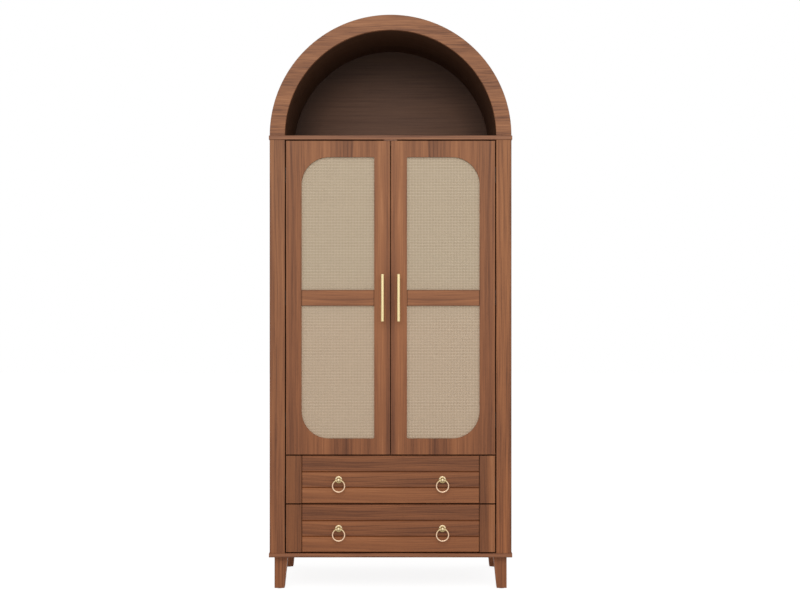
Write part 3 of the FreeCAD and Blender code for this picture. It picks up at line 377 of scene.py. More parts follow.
# The band at the doors' outer edge is a painted highlight; the others are figure.
DOOR_STREAKS_AND_EDGE_HIGHLIGHT = (
    (0.029, 0.022, 0.22), (0.074, 0.016, -0.06), (0.118, 0.008, 0.10), (0.127, 0.005, -0.22),
    (0.148, 0.026, -0.24), (0.178, 0.026, -0.16), (0.217, 0.024, 0.24), (0.258, 0.024, 0.08),
    (0.273, 0.006, -0.08), (0.322, 0.020, -0.12), (DOOR_OUTER_X, 0.005, 0.16),
)
DOOR_SEED = 0.43
DOOR_WAVE_SCALE = (3.0, 3.0, 2.2)
DOOR_WAVE = 0.016
CENTRE_STREAK_WIDTH = 0.024
CENTRE_STREAK_HEIGHTS = (0.98, 1.11)
CENTRE_STREAK_LOW = -0.20
CENTRE_STREAK_HIGH = -0.04
# Painted shade: the doors darken towards their bottom over this reach
DOOR_FOOT_REACH = 0.25
DOOR_FOOT_SHADE = 0.91


def door_walnut(name, tone):
    """Book-matched veneer: the right door mirrors the left."""
    g = Graph(name)
    x, y, z = g.axes()
    away = g.math("ABSOLUTE", x)
    wave = g.noise(g.vector(away, y, z), DOOR_WAVE_SCALE, 1.0)
    place = g.math("ADD", away, g.swing(wave, DOOR_WAVE))
    strength = g.between(z, *CENTRE_STREAK_HEIGHTS, CENTRE_STREAK_LOW, CENTRE_STREAK_HIGH)
    centre = g.math("MULTIPLY", soft_band(g, place, 0.0, CENTRE_STREAK_WIDTH, 1.0), strength)
    figure = banded(g, place, DOOR_STREAKS_AND_EDGE_HIGHLIGHT, centre)
    shade = gap_shade(g, y, [(away, DOOR_OUTER_X), (z, DOOR_BOTTOM), (z, DOOR_TOP)])
    # Painted shade, darker towards the bottom of the doors
    foot = g.between(z, DOOR_BOTTOM, DOOR_BOTTOM + DOOR_FOOT_REACH, DOOR_FOOT_SHADE, 1.0)
    return walnut_surface(g, g.math("ADD", away, DOOR_SEED), y, z, tone, figure, busy=0.6,
                          shade=g.product(shade, foot), fine=0.8)


MID_RAIL_SEED = 3.7
MID_RAIL_TONE = (1.02, 1.04, 1.09)
MID_RAIL_BEND = 0.03


def mid_rail_walnut(name):
    """The rail's joints with the door frame show as fine dark lines, and its long edges get painted
    shade.
    """
    g = Graph(name)
    x, y, z = g.axes()
    away = g.math("ABSOLUTE", x)
    ends = near_ends(g, away, (WINDOW_INNER_X, WINDOW_OUTER_X), *END_LINE)
    edges = near_ends(g, z, (MID_RAIL_LOW.z, MID_RAIL_HIGH.z), *RAIL_EDGE_SHADE)
    return walnut_surface(g, g.math("ADD", z, MID_RAIL_SEED), y, away, MID_RAIL_TONE,
                          cathedral=MID_RAIL_BEND, shade=g.math("MULTIPLY", ends, edges))


# Arch ring, with bands of figure, and painted shade at its foot, placed by their height over the
# top board

# The first band, where the ring stands on the top board, is painted shade; the others are figure.
RING_STREAKS_AND_FOOT_SHADE = (
    (0.0, 0.022, -0.20), (0.033, 0.016, 0.09), (0.081, 0.014, -0.04), (0.122, 0.028, 0.15),
    (0.173, 0.024, -0.18), (0.208, 0.016, -0.05), (0.258, 0.024, 0.07), (0.297, 0.018, -0.05),
    (0.341, 0.014, -0.08), (0.374, 0.022, 0.12),
)
RING_SEED = 0.11
RING_TONE = (0.94, 0.95, 1.0)
RING_SHORTENING = 2.2


def ring_walnut(name):
    """The arch ring, one level-grained veneer with shorter figure than the boards."""
    g = Graph(name)
    across, through, along = grain_place(g, "x", RING_SEED)
    rise = g.math("SUBTRACT", g.axes()[2], ARCH_CENTRE_Z)
    figure = banded(g, rise, RING_STREAKS_AND_FOOT_SHADE)
    shortened = g.math("MULTIPLY", along, RING_SHORTENING)
    return walnut_surface(g, across, through, shortened, RING_TONE, figure, busy=0.6, fine=1.3)


BOTTOM_BOARD_SEED = 4.1
BOTTOM_BOARD_TONE = (1.13, 1.25, 1.45)
BOTTOM_EDGE_REACH = 0.008
BOTTOM_EDGE_SHADE = 0.70


def bottom_board_walnut(name):
    """The board over the legs; its lower edge, turned to the floor, gets painted shade."""
    g = Graph(name)
    height = g.axes()[2]
    shade = g.between(height, BOTTOM_BOARD_LOW, BOTTOM_BOARD_LOW + BOTTOM_EDGE_REACH,
                      BOTTOM_EDGE_SHADE, 1.0)
    return walnut_surface(g, *grain_place(g, "x", BOTTOM_BOARD_SEED), BOTTOM_BOARD_TONE,
                          shade=shade)


# Back of the niche

NICHE_SEED = 16.0
# The niche back's darker, greyer tone is partly its own colour and partly painted shade of the
# niche.
NICHE_TONE = (0.65, 0.78, 1.03)
# Shape and reach of the painted shade on the niche back
NICHE_SIDE_SHARE = 0.68
NICHE_SQUARENESS = 3.0
NICHE_NEAR = 0.17
NICHE_FAR = 0.27
NICHE_FAR_SHADE = 0.60
NICHE_FOOT_REACH = 0.035
NICHE_FOOT_SHADE = 0.87
NICHE_EDGE_REACH = 0.090
NICHE_TURN = 0.10
NICHE_LEFT_SHADE = 0.56
NICHE_RIGHT_SHADE = 0.80
# Depths in the panel over which the painted shade of its front ends
NICHE_FRONT = (0.001, 0.004)


def niche_walnut(name):
    """The back of the niche: painted shade darkens its front outwards, at the board below and next
    to the arch, there more so on the left."""
    g = Graph(name)
    x, y, z = g.axes()
    height = g.math("SUBTRACT", z, ARCH_CENTRE_Z)
    side = g.math("MULTIPLY", g.math("ABSOLUTE", x), NICHE_SIDE_SHARE)
    powers = g.math("ADD", g.math("POWER", side, NICHE_SQUARENESS),
                    g.math("POWER", g.math("ABSOLUTE", height), NICHE_SQUARENESS))
    reach = g.math("POWER", powers, 1.0 / NICHE_SQUARENESS)
    outer = g.between(reach, NICHE_NEAR, NICHE_FAR, 1.0, NICHE_FAR_SHADE)
    foot = g.between(height, 0.0, NICHE_FOOT_REACH, NICHE_FOOT_SHADE, 1.0)
    squares = g.math("ADD", g.math("MULTIPLY", x, x), g.math("MULTIPLY", height, height))
    darkest = g.between(x, -NICHE_TURN, NICHE_TURN, NICHE_LEFT_SHADE, NICHE_RIGHT_SHADE)
    edge = g.between(g.math("SQRT", squares), INNER_X - NICHE_EDGE_REACH, INNER_X, 1.0, darkest)
    shade = g.math("MULTIPLY", g.math("MULTIPLY", outer, foot), edge)
    first, full = (NICHE_BACK_Y + depth for depth in NICHE_FRONT)
    return walnut_surface(g, *grain_place(g, "x", NICHE_SEED), NICHE_TONE, busy=0.4,
                          shade=g.between(y, first, full, shade, 1.0), fine=0.45)


# Drawer fronts, with streaks placed from the bottom of the front upwards

PLANK_STREAKS = (
    (0.022, 0.012, -0.08), (0.046, 0.010, 0.12), (0.064, 0.010, -0.08), (0.096, 0.014, 0.18),
    (0.125, 0.020, -0.06), (0.148, 0.010, 0.06),
)
PLANK_FIGURES = (0.10, -0.12, -0.21)
PLANK_HEIGHT = DRAWER_HEIGHT / len(PLANK_FIGURES)
PLANK_SEED_STEP = 1.37
PLANK_TONE = 0.93
PLANK_BEND = 0.05
# Painted shade in the grooves between planks: its reach over and under a plank's edge, and its tone
GROOVE_OVER = 0.0012
GROOVE_UNDER = (0.0018, 0.0036)
GROOVE_SHADE_TONE = (0.67, 0.53, 0.33)


def plank_walnut(name, bottom):
    """Three planks, the top one darkest, with a line of painted shade at each groove.

    Both drawers have the same boards."""
    g = Graph(name)
    x, y, z = g.axes()
    rise = g.math("SUBTRACT", z, bottom)
    share = g.math("DIVIDE", rise, PLANK_HEIGHT)
    figure = PLANK_FIGURES[0]
    groove = 0.0
    for number, (lower, upper) in enumerate(zip(PLANK_FIGURES, PLANK_FIGURES[1:]), 1):
        above = g.math("GREATER_THAN", share, float(number))
        figure = g.math("ADD", figure, g.math("MULTIPLY", above, upper - lower))
        under = g.math("SUBTRACT", number * PLANK_HEIGHT, rise)
        line = g.math("MULTIPLY", g.between(under, *GROOVE_UNDER, 1.0, 0.0),
                      g.math("GREATER_THAN", under, -GROOVE_OVER))
        groove = g.math("ADD", groove, line)
    figure = banded(g, rise, PLANK_STREAKS, figure)
    board = g.math("MULTIPLY", g.math("FLOOR", share), PLANK_SEED_STEP)
    shade = g.product(gap_shade(g, y, front_edges(rise)), toned(g, groove, GROOVE_SHADE_TONE))
    ends = near_ends(g, g.math("ABSOLUTE", x), (WINDOW_OUTER_X,), *END_LINE)
    return walnut_surface(g, g.math("ADD", rise, board), y, x, PLANK_TONE, figure, busy=0.6,
                          cathedral=PLANK_BEND, shade=g.product(shade, ends))


# Where a drawer stile gets lighter outwards, from and to, and how dark and light it is there
LEFT_LIGHTENING = (0.298, 0.336, -0.06, 0.10)
RIGHT_LIGHTENING = (0.316, 0.328, -0.07, 0.36)
DRAWER_STILE_SEED = 23.0
DRAWER_STILE_TONE = 0.78


def drawer_stile_walnut(name, bottom):
    """Stiles of a drawer front, lighter towards their outer edges, the right one more so."""
    g = Graph(name)
    x, y, z = g.axes()
    away = g.math("ABSOLUTE", x)
    left = g.between(away, *LEFT_LIGHTENING, smooth=True)
    right = g.between(away, *RIGHT_LIGHTENING, smooth=True)
    figure = g.between(g.math("GREATER_THAN", x, 0.0), 0.0, 1.0, left, right)
    edges = front_edges(g.math("SUBTRACT", z, bottom)) + [(away, DOOR_OUTER_X)]
    return walnut_surface(g, *grain_place(g, "z", DRAWER_STILE_SEED), DRAWER_STILE_TONE, figure,
                          busy=0.4, shade=gap_shade(g, y, edges))


SUB_FRONT_SEED = 24.0
SUB_FRONT_TONE = 0.9


def sub_front_walnut(name, bottom):
    """The board behind the planks and stiles of a drawer front."""
    g = Graph(name)
    x, y, z = g.axes()
    edges = front_edges(g.math("SUBTRACT", z, bottom)) + [(g.math("ABSOLUTE", x), DOOR_OUTER_X)]
    return walnut_surface(g, *grain_place(g, "x", SUB_FRONT_SEED), SUB_FRONT_TONE,
                          shade=gap_shade(g, y, edges))


# Other woods

def plain_wood(name, grain, seed, dark, light):
    """Solid or ply wood of even colour, with fibres along the grain."""
    g = Graph(name)
    place = g.vector(*grain_place(g, grain, seed))
    broad = g.noise(place, (60.0, 60.0, 2.0), 2.0)
    fibre = g.noise(place, (800.0, 800.0, 14.0), 2.0)
    value = g.math("ADD", g.math("MULTIPLY", broad, 0.6), g.math("MULTIPLY", fibre, 0.4))
    return g.surface(
        Base_Color=g.two_tones(value, 0.3, dark, light),
        Roughness=g.spread(fibre, 0.55, 0.65),
        Normal=g.bump(fibre, 0.15, WOOD_RELIEF),
    )


def hardboard(name, dark, light):
    """Pressed fibre board: no grain, a fine mottle and short fibres."""
    g = Graph(name)
    mottle = g.noise(g.place(), even(90.0), 3.0, 0.6)
    fibre = g.noise(g.place(), even(1200.0), 2.0)
    value = g.math("ADD", g.math("MULTIPLY", mottle, 0.6), g.math("MULTIPLY", fibre, 0.4))
    return g.surface(
        Base_Color=g.two_tones(value, 0.3, dark, light),
        Roughness=g.spread(fibre, 0.6, 0.75),
        Normal=g.bump(fibre, 0.2, WOOD_RELIEF),
    )


# Metals and plastics

SMOOTH_RELIEF = 0.0002


def brushed_metal(name, dark, light, rough):
    """Satin metal: a faint cloud of tones and fine brushed lines."""
    g = Graph(name)
    lines = g.noise(g.place(), (900.0, 900.0, 60.0), 2.0)
    cloud = g.noise(g.place(), even(70.0), 2.0)
    return g.surface(
        Base_Color=g.two_tones(cloud, 0.35, dark, light),
        Metallic=1.0,
        Roughness=g.spread(lines, rough, rough + 0.08),
        Normal=g.bump(lines, 0.04, SMOOTH_RELIEF),
    )


def plastic(name, dark, light, rough):
    """Moulded plastic with a fine grain."""
    g = Graph(name)
    grain = g.noise(g.place(), even(1500.0), 2.0)
    cloud = g.noise(g.place(), even(40.0), 2.0)
    return g.surface(
        Base_Color=g.two_tones(cloud, 0.35, dark, light),
        Roughness=g.spread(grain, rough, rough + 0.1),
        Normal=g.bump(grain, 0.1, SMOOTH_RELIEF),
    )


# Brass of the ring pulls, whose middles lie in the middles of the drawer fronts

ROSETTE_THICKNESS = 0.0035
STANDING_DEPTH = 0.0012
# Painted dark reflection on neck and ball, their extra roughness, painted shadow on the lower
# rosette
STANDING_DARKNESS = 0.55
STANDING_DULLNESS = 0.12
LOWER_DARKNESS = 0.9
# Heights from the middle over which the painted shadow on the rosette sets in, depths in front of
# the rosette where the painted highlight on the ball's tip begins, and distances from the middle
# over which the rings turn rosy with their painted reflection
LOWER_HALF = (0.004, -0.010)
BALL_TIP_HIGHLIGHT = (0.0142, 0.0147)
RING_MEETS_BALL = (0.004, 0.012)


def front_middle(bottom):
    """Height of the middle of the drawer front whose lower edge is at bottom."""
    return bottom + DRAWER_HEIGHT / 2


def pull_brass(name, bottom):
    """Brass of the pull mounts: painted shadow darkens the rosette's lower half, a painted dark
    reflection darkens the rougher ball, and a painted highlight lights the ball's tip."""
    g = Graph(name)
    y, z = g.axes()[1:]
    lines = g.noise(g.place(), even(900.0), 2.0)
    depth = g.math("SUBTRACT", FACE_Y - ROSETTE_THICKNESS, y)
    standing = g.between(depth, 0.0, STANDING_DEPTH)
    first, full = (front_middle(bottom) + rise for rise in LOWER_HALF)
    lower = g.between(z, first, full, 0.0, LOWER_DARKNESS)
    dark = g.math("MAXIMUM", g.math("MULTIPLY", standing, STANDING_DARKNESS), lower)
    dark = g.math("MULTIPLY", dark, g.between(depth, *BALL_TIP_HIGHLIGHT, 1.0, 0.0, smooth=True))
    dull = g.math("MULTIPLY", standing, STANDING_DULLNESS)
    return g.surface(
        Base_Color=g.two_tones(dark, 0.0, (222, 202, 165), (154, 137, 89)),
        Metallic=1.0,
        Roughness=g.math("ADD", g.spread(lines, 0.16, 0.22), dull),
        Normal=g.bump(lines, 0.02, SMOOTH_RELIEF),
    )


def ring_brass(name):
    """Brass of the rings, rosy with a painted walnut reflection, yellower where a ring meets its
    ball.
    """
    g = Graph(name)
    z = g.axes()[2]
    lines = g.noise(g.place(), (900.0, 900.0, 60.0), 2.0)
    drops = [g.distance(z, front_middle(bottom)) for bottom in DRAWER_BOTTOMS.values()]
    meeting = g.between(g.math("MINIMUM", *drops), *RING_MEETS_BALL, 1.0, 0.0)
    return g.surface(
        Base_Color=g.two_tones(meeting, 0.0, (226, 194, 163), (208, 186, 142)),
        Metallic=1.0,
        Roughness=g.spread(lines, 0.26, 0.34),
        Normal=g.bump(lines, 0.04, SMOOTH_RELIEF),
    )


# Woven cane

CANE_COLOURS = ((0.0, (167, 147, 120)), (0.35, (185, 167, 141)), (0.65, (196, 178, 154)),
                (1.0, (209, 194, 171)))
CANE_FIBRE_SCALE = (2400.0, 2400.0, 50.0)
CANE_PATCH_SCALE = (40.0, 40.0, 12.0)
CANE_NOISE_GAIN = 0.12
CANE_TINT_RANGE = (0.25, 0.75)
CANE_WARM_HEIGHTS = (0.85, 1.05)
CANE_WARM_RED = 1.045

WINDOW_LARGE_CORNER = 0.090
WINDOW_SMALL_CORNER = 0.004
UPRIGHT_PITCH = 0.00494
LEVEL_PITCH = 0.00476
STRAND_GAP = 0.0003
CROWN_SHARE = 0.7
STRAND_HALF_THICKNESS = 0.00042
WEAVE_LIFT = 0.00050
PLATEAU_SHARE = 0.25

# How far the tints of light and dark strands lie from the middle, and how far they stray
UPRIGHT_STEP = 0.005
LEVEL_STEP = 0.365
RANDOM_STEP = 0.12
HASH_TURN = 12.9898
HASH_GAIN = 43758.5453


def cane(name, along_axis, seed):
    """Split rattan: each strand has its own tint, with fine fibres along it."""
    g = Graph(name)
    x, y, z = g.axes()
    along, across = (x, z) if along_axis == "x" else (z, x)
    own = g.add("Attribute", attribute_name="strand_tint").outputs["Fac"]
    place = g.vector(g.math("ADD", across, seed), y, along)
    fibre = g.noise(place, CANE_FIBRE_SCALE, 2.0, 0.6)
    patch = g.noise(place, CANE_PATCH_SCALE, 2.0)
    value = g.between(own, 0.0, 1.0, *CANE_TINT_RANGE)
    for noise in (fibre, patch):
        value = g.math("ADD", value, g.swing(noise, CANE_NOISE_GAIN))
    colour = g.ramp(value, [(share, srgb(*tone)) for share, tone in CANE_COLOURS])
    red = g.between(z, *CANE_WARM_HEIGHTS, CANE_WARM_RED, 1.0)
    return g.surface(
        Base_Color=g.product(colour, g.vector(red, 1.0, 1.0)),
        Roughness=g.spread(fibre, 0.5, 0.6),
        Specular_IOR_Level=0.3,
        Normal=g.bump(fibre, 0.2, WOOD_RELIEF),
    )


def corner_cut(place, low, high, radius, side):
    """How much a round corner takes off a strand's end; side is -1 for the corner at low."""
    from_edge = place - low if side < 0 else high - place
    if from_edge >= radius:
        return 0.0
    return radius - math.sqrt(max(radius ** 2 - (radius - from_edge) ** 2, 0.0))


def outline_reach(place, bounds, run_bounds, corner_radii):
    """From where to where a strand at place runs inside a rounded rectangle.

    bounds hold place, and run_bounds hold the run. corner_radii are those at the run's start,
    below and above place, and then those at its end."""
    cuts = [corner_cut(place, *bounds, radius, side)
            for radius, side in zip(corner_radii, (-1, 1, -1, 1))]
    return run_bounds[0] + max(cuts[:2]), run_bounds[1] - max(cuts[2:])


def strand_lines(low, high, pitch):
    """Middle lines of the strands between low and high, evenly spread about their middle."""
    count = math.floor((high - low) / pitch)
    first = (low + high) / 2 - (count - 1) * pitch / 2
    return [first + number * pitch for number in range(count)]


def tint_of(number, step):
    """Light and dark strands by turns, each a little off by its own pseudo-random share."""
    share = math.modf(abs(math.sin((number + 1) * HASH_TURN) * HASH_GAIN))[0]
    return 0.5 + (step if number % 2 == 0 else -step) + (share - 0.5) * RANDOM_STEP


def strand_stations(run, crossings, pitch, over_first):
    """Places along a strand with its lift there: flat over or under each strand that it crosses."""
    start, end = run
    stations = []
    for number, crossing in enumerate(crossings):
        over = (number % 2 == 0) == over_first
        for shift in (-PLATEAU_SHARE, PLATEAU_SHARE):
            place = crossing + shift * pitch
            if start < place < end:
                stations.append((place, WEAVE_LIFT if over else -WEAVE_LIFT))
    return [(start, stations[0][1])] + stations + [(end, stations[-1][1])]


def add_strand(mesh, tint_layer, line, stations, upright, tint):
    """One split strand, crowned in front and flat behind."""
    middle_y = (CANE_LOW.y + CANE_HIGH.y) / 2
    half = ((UPRIGHT_PITCH if upright else LEVEL_PITCH) - STRAND_GAP) / 2
    crown, thick = half * CROWN_SHARE, STRAND_HALF_THICKNESS
    section = ((-half, -thick), (-crown, thick), (crown, thick), (half, -thick))
    rings = []
    for place, lift in stations:
        ring = []
        for side, rise in section:
            y = middle_y - lift - rise
            at = (line + side, y, place) if upright else (place, y, line + side)
            ring.append(mesh.verts.new(at))
            ring[-1][tint_layer] = tint
        rings.append(ring)
    faces = [mesh.faces.new(rings[0]), mesh.faces.new(list(reversed(rings[-1])))]
    for near, far in zip(rings, rings[1:]):
        for index in range(len(section)):
            after = (index + 1) % len(section)
            faces.append(mesh.faces.new((near[index], far[index], far[after], near[after])))
    for face in faces:
        face.material_index = 0 if upright else 1
        face.smooth = True


def piece_of(name, mesh, materials):
    """A new object in the scene with this mesh and these materials."""
    data = bpy.data.meshes.new(name)
    mesh.to_mesh(data)
    mesh.free()
    for material in materials:
        data.materials.append(material)
    piece = bpy.data.objects.new(name, data)
    bpy.context.scene.collection.objects.link(piece)
    return piece


def woven_cane(side, which, materials):
    """The cane of one window: a plain close weave, cut to the window's rebate."""
    across = (CANE_LOW.x, CANE_HIGH.x)
    upwards = (WINDOWS[which][0] - CANE_MARGIN, WINDOWS[which][1] + CANE_MARGIN)
    small, large = WINDOW_SMALL_CORNER + CANE_MARGIN, WINDOW_LARGE_CORNER + CANE_MARGIN
    outer_low = large if which == "lower" else small
    outer_high = large if which == "upper" else small
    uprights = strand_lines(*across, UPRIGHT_PITCH)
    levels = strand_lines(*upwards, LEVEL_PITCH)
    mesh = bmesh.new()
    tint_layer = mesh.verts.layers.float.new("strand_tint")
    for number, line in enumerate(uprights):
        run = outline_reach(line, across, upwards, (small, outer_low, small, outer_high))
        stations = strand_stations(run, levels, LEVEL_PITCH, number % 2 == 0)
        add_strand(mesh, tint_layer, line, stations, True, tint_of(number, UPRIGHT_STEP))
    for number, line in enumerate(levels):
        run = outline_reach(line, upwards, across, (small, small, outer_low, outer_high))
        stations = strand_stations(run, uprights, UPRIGHT_PITCH, number % 2 == 1)
        add_strand(mesh, tint_layer, line, stations, False, tint_of(number, LEVEL_STEP))
    if side == "left":
        for vert in mesh.verts:
            vert.co.x = -vert.co.x
    bmesh.ops.recalc_face_normals(mesh, faces=mesh.faces)
    piece = piece_of(f"{side}_{which}_cane", mesh, materials)
    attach(piece, f"{side}_door")
    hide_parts(f"{side}_door_cane")


# Small screws, with painted shade for their cross recesses; a screw's size is its head's radius and
# height

CUPS_LOW, CUPS_HIGH = corners("right_door_hinge_cups")
CUP_X = (CUPS_LOW.x + CUPS_HIGH.x) / 2
CUP_HALF_HEIGHT = 0.028
CUP_SCREW = (0.0038, 0.0016)
CUP_SCREW_SHIFT = 0.0235
LOWEST_HINGE_Z = CUPS_LOW.z + CUP_HALF_HEIGHT
HIGHEST_HINGE_Z = CUPS_HIGH.z - CUP_HALF_HEIGHT
HINGE_HEIGHTS = (LOWEST_HINGE_Z, (LOWEST_HINGE_Z + HIGHEST_HINGE_Z) / 2, HIGHEST_HINGE_Z)

PLATE_THICKNESS = 0.003
PLATE_SCREW = (0.0038, 0.0018)
PLATE_SCREW_SHIFT = 0.016
PLATE_SCREW_INSET = 0.015
PLATE_SCREW_Y = corners("hinge_arms")[1].y - PLATE_SCREW_INSET

RAIL_LOW, RAIL_HIGH = corners("hanging_rail")
RAIL_Y = (RAIL_LOW.y + RAIL_HIGH.y) / 2
RAIL_Z = (RAIL_LOW.z + RAIL_HIGH.z) / 2
SOCKET_FLANGE = 0.003
SOCKET_SCREW = (0.0028, 0.0014)
SOCKET_SCREW_CIRCLE = 0.0187
SOCKET_SCREW_ANGLES = (90.0, 210.0, 330.0)

CATCH_LOW, CATCH_HIGH = corners("door_catch")
CATCH_SCREW = (0.0032, 0.0014)
CATCH_SCREW_INSET = 0.007

HANDLE_LOW, HANDLE_HIGH = corners("right_door_handle")
HANDLE_X = (HANDLE_LOW.x + HANDLE_HIGH.x) / 2
HANDLE_POST_INSET = 0.012
HANDLE_POSTS_Z = (HANDLE_LOW.z + HANDLE_POST_INSET, HANDLE_HIGH.z - HANDLE_POST_INSET)
HANDLE_SCREW_TOP_Y = corners("right_door_handle_screws")[1].y
HANDLE_SCREW_RADIUS = 0.004

BACK_LOW, BACK_HIGH = corners("back_panel")
BACK_SIDE_INSET = 0.0115
BACK_END_INSET = 0.060
BACK_SCREW_X = BACK_HIGH.x - BACK_SIDE_INSET
BACK_SCREW_TOP_Y = corners("back_panel_screws")[1].y
BACK_SCREW_ROWS = 7
BACK_SCREW_STEP = (BACK_HIGH.z - BACK_LOW.z - 2 * BACK_END_INSET) / (BACK_SCREW_ROWS - 1)
BACK_SCREW_RADIUS = 0.0038

HEAD_SEGMENTS = 18
HEAD_RINGS = 10
SLOT_SHARES = (0.30, 1.15)
SLOT_DEPTH = 0.0001


def turned(place, toward):
    """Frame at place whose third axis points along toward."""
    return Matrix.Translation(place) @ Vector(toward).to_track_quat("Z", "Y").to_matrix().to_4x4()


def faces_of(made):
    """The faces that a bmesh call has just made."""
    return {face for vert in made["verts"] for face in vert.link_faces}


def add_cross(mesh, place, toward, radius):
    """Two dark crossed slots that lie on a screw head, painted shade for its cross recess."""
    narrow, long = (share * radius for share in SLOT_SHARES)
    for size in ((narrow, long), (long, narrow)):
        shape = turned(place, toward) @ Matrix.Diagonal((*size, SLOT_DEPTH, 1.0))
        for face in faces_of(bmesh.ops.create_cube(mesh, size=1.0, matrix=shape)):
            face.material_index = 1


def add_head(mesh, place, toward, radius, height):
    """Domed head that stands on a surface, with its cross recess."""
    shape = turned(place, toward) @ Matrix.Diagonal((1.0, 1.0, height / radius, 1.0))
    made = bmesh.ops.create_uvsphere(mesh, u_segments=HEAD_SEGMENTS, v_segments=HEAD_RINGS,
                                     radius=radius, matrix=shape)
    for face in faces_of(made):
        face.smooth = True
    add_cross(mesh, Vector(place) + Vector(toward) * height, toward, radius)


def finish_screws(name, mesh, body, materials):
    piece = piece_of(name, mesh, materials)
    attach(piece, body)


def door_screws(side, sign, materials):
    """Hinge cup screws, and painted shade for the handle screws' recesses, on the back of a door.
    """
    mesh = bmesh.new()
    back = (0.0, 1.0, 0.0)
    for height in HINGE_HEIGHTS:
        for shift in (-CUP_SCREW_SHIFT, CUP_SCREW_SHIFT):
            add_head(mesh, (sign * CUP_X, CUPS_HIGH.y, height + shift), back, *CUP_SCREW)
    for height in HANDLE_POSTS_Z:
        place = (sign * HANDLE_X, HANDLE_SCREW_TOP_Y, height)
        add_cross(mesh, place, back, HANDLE_SCREW_RADIUS)
    finish_screws(f"{side}_door_small_screws", mesh, f"{side}_door", materials)


def carcass_screws(materials):
    """Screws of hinge plates, rail sockets and catch, and painted shade for the back's screw
    recesses.
    """
    mesh = bmesh.new()
    for sign in (-1.0, 1.0):
        inwards = (-sign, 0.0, 0.0)
        plate_x = sign * (INNER_X - PLATE_THICKNESS)
        socket_x = sign * (INNER_X - SOCKET_FLANGE)
        for height in HINGE_HEIGHTS:
            for shift in (-PLATE_SCREW_SHIFT, PLATE_SCREW_SHIFT):
                add_head(mesh, (plate_x, PLATE_SCREW_Y, height + shift), inwards, *PLATE_SCREW)
        for angle in SOCKET_SCREW_ANGLES:
            turn = math.radians(angle)
            place = (socket_x, RAIL_Y + SOCKET_SCREW_CIRCLE * math.cos(turn),
                     RAIL_Z + SOCKET_SCREW_CIRCLE * math.sin(turn))
            add_head(mesh, place, inwards, *SOCKET_SCREW)
        for row in range(BACK_SCREW_ROWS):
            height = BACK_LOW.z + BACK_END_INSET + row * BACK_SCREW_STEP
            place = (sign * BACK_SCREW_X, BACK_SCREW_TOP_Y, height)
            add_cross(mesh, place, (0.0, 1.0, 0.0), BACK_SCREW_RADIUS)
    under_catch = (0.0, CATCH_HIGH.y - CATCH_SCREW_INSET, CATCH_LOW.z)
    add_head(mesh, under_catch, (0.0, 0.0, -1.0), *CATCH_SCREW)
    finish_screws("small_screws", mesh, "carcass", materials)


def add_small_screws():
    steel = brushed_metal("screw_steel", (150, 150, 148), (172, 172, 170), 0.34)
    recess = plastic("recess_painted_shade", (30, 28, 26), (38, 36, 33), 0.6)
    materials = [steel, recess]
    door_screws("left", -1.0, materials)
    door_screws("right", 1.0, materials)
    carcass_screws(materials)


# Finishes of the CAD nodes

# Material, grain, seed and tone, and the nodes that have it
PLAIN_WALNUTS = (
    ("walnut_top_board", "x", 2.3, (0.91, 0.96, 1.14), "top_board"),
    ("walnut_sides", "z", 9.4, 1.0, "left_side_panel", "right_side_panel"),
    ("walnut_arch_skin", "arc", 12.0, 1.0, "arch_outer_skin"),
    # The lining's low tone is painted shade inside the deep arch.
    ("walnut_lining", "arc", 14.0, 0.25, "arch_inner_skin"),
    ("walnut_inside", "z", 18.0, 0.9, "left_inner_panel", "right_inner_panel"),
    ("walnut_shelf", "x", 19.0, 0.9, "middle_shelf"),
    ("walnut_retainers", "z", 21.0, 0.9, "left_door_cane_retainers",
     "right_door_cane_retainers"),
    ("walnut_legs", "z", 25.0, 1.02, "front_legs", "rear_legs"),
)
# Side, seed, tone, and bands: painted shade along the outer edge, and on the right one of figure
STILES = (
    ("left", 5.2, (0.91, 0.93, 0.97), LEFT_STILE_EDGE_SHADE),
    ("right", 7.9, (1.08, 1.07, 1.03), RIGHT_STILE_STREAKS_AND_EDGE_SHADE),
)
DOOR_TONE = (0.98, 0.97, 0.98)
# Material, its dark and light tone and its roughness, and the nodes that have it
METALS = (
    ("satin_brass", (227, 208, 158), (230, 211, 162), 0.24, "left_door_handle",
     "right_door_handle"),
    ("zinc_plate", (176, 178, 178), (200, 202, 202), 0.34, "leg_studs",
     "left_door_strike_plate", "right_door_strike_plate", "back_panel_screws",
     "left_door_handle_screws", "right_door_handle_screws"),
    ("black_nickel", (70, 66, 62), (80, 76, 71), 0.32, "hinge_arms", "left_door_hinge_cups",
     "right_door_hinge_cups", "cabinet_runners", "upper_drawer_runners",
     "lower_drawer_runners"),
    ("gunmetal", (92, 90, 88), (106, 104, 102), 0.24, "hanging_rail", "rail_sockets"),
)
PLASTICS = (
    ("catch_brown", (138, 96, 73), (146, 103, 79), 0.5, "door_catch"),
    ("glide_black", (40, 36, 33), (52, 47, 43), 0.7, "leg_glides"),
)


def dress(material, *nodes):
    for name in nodes:
        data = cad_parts[name].data
        data.materials.clear()
        data.materials.append(material)


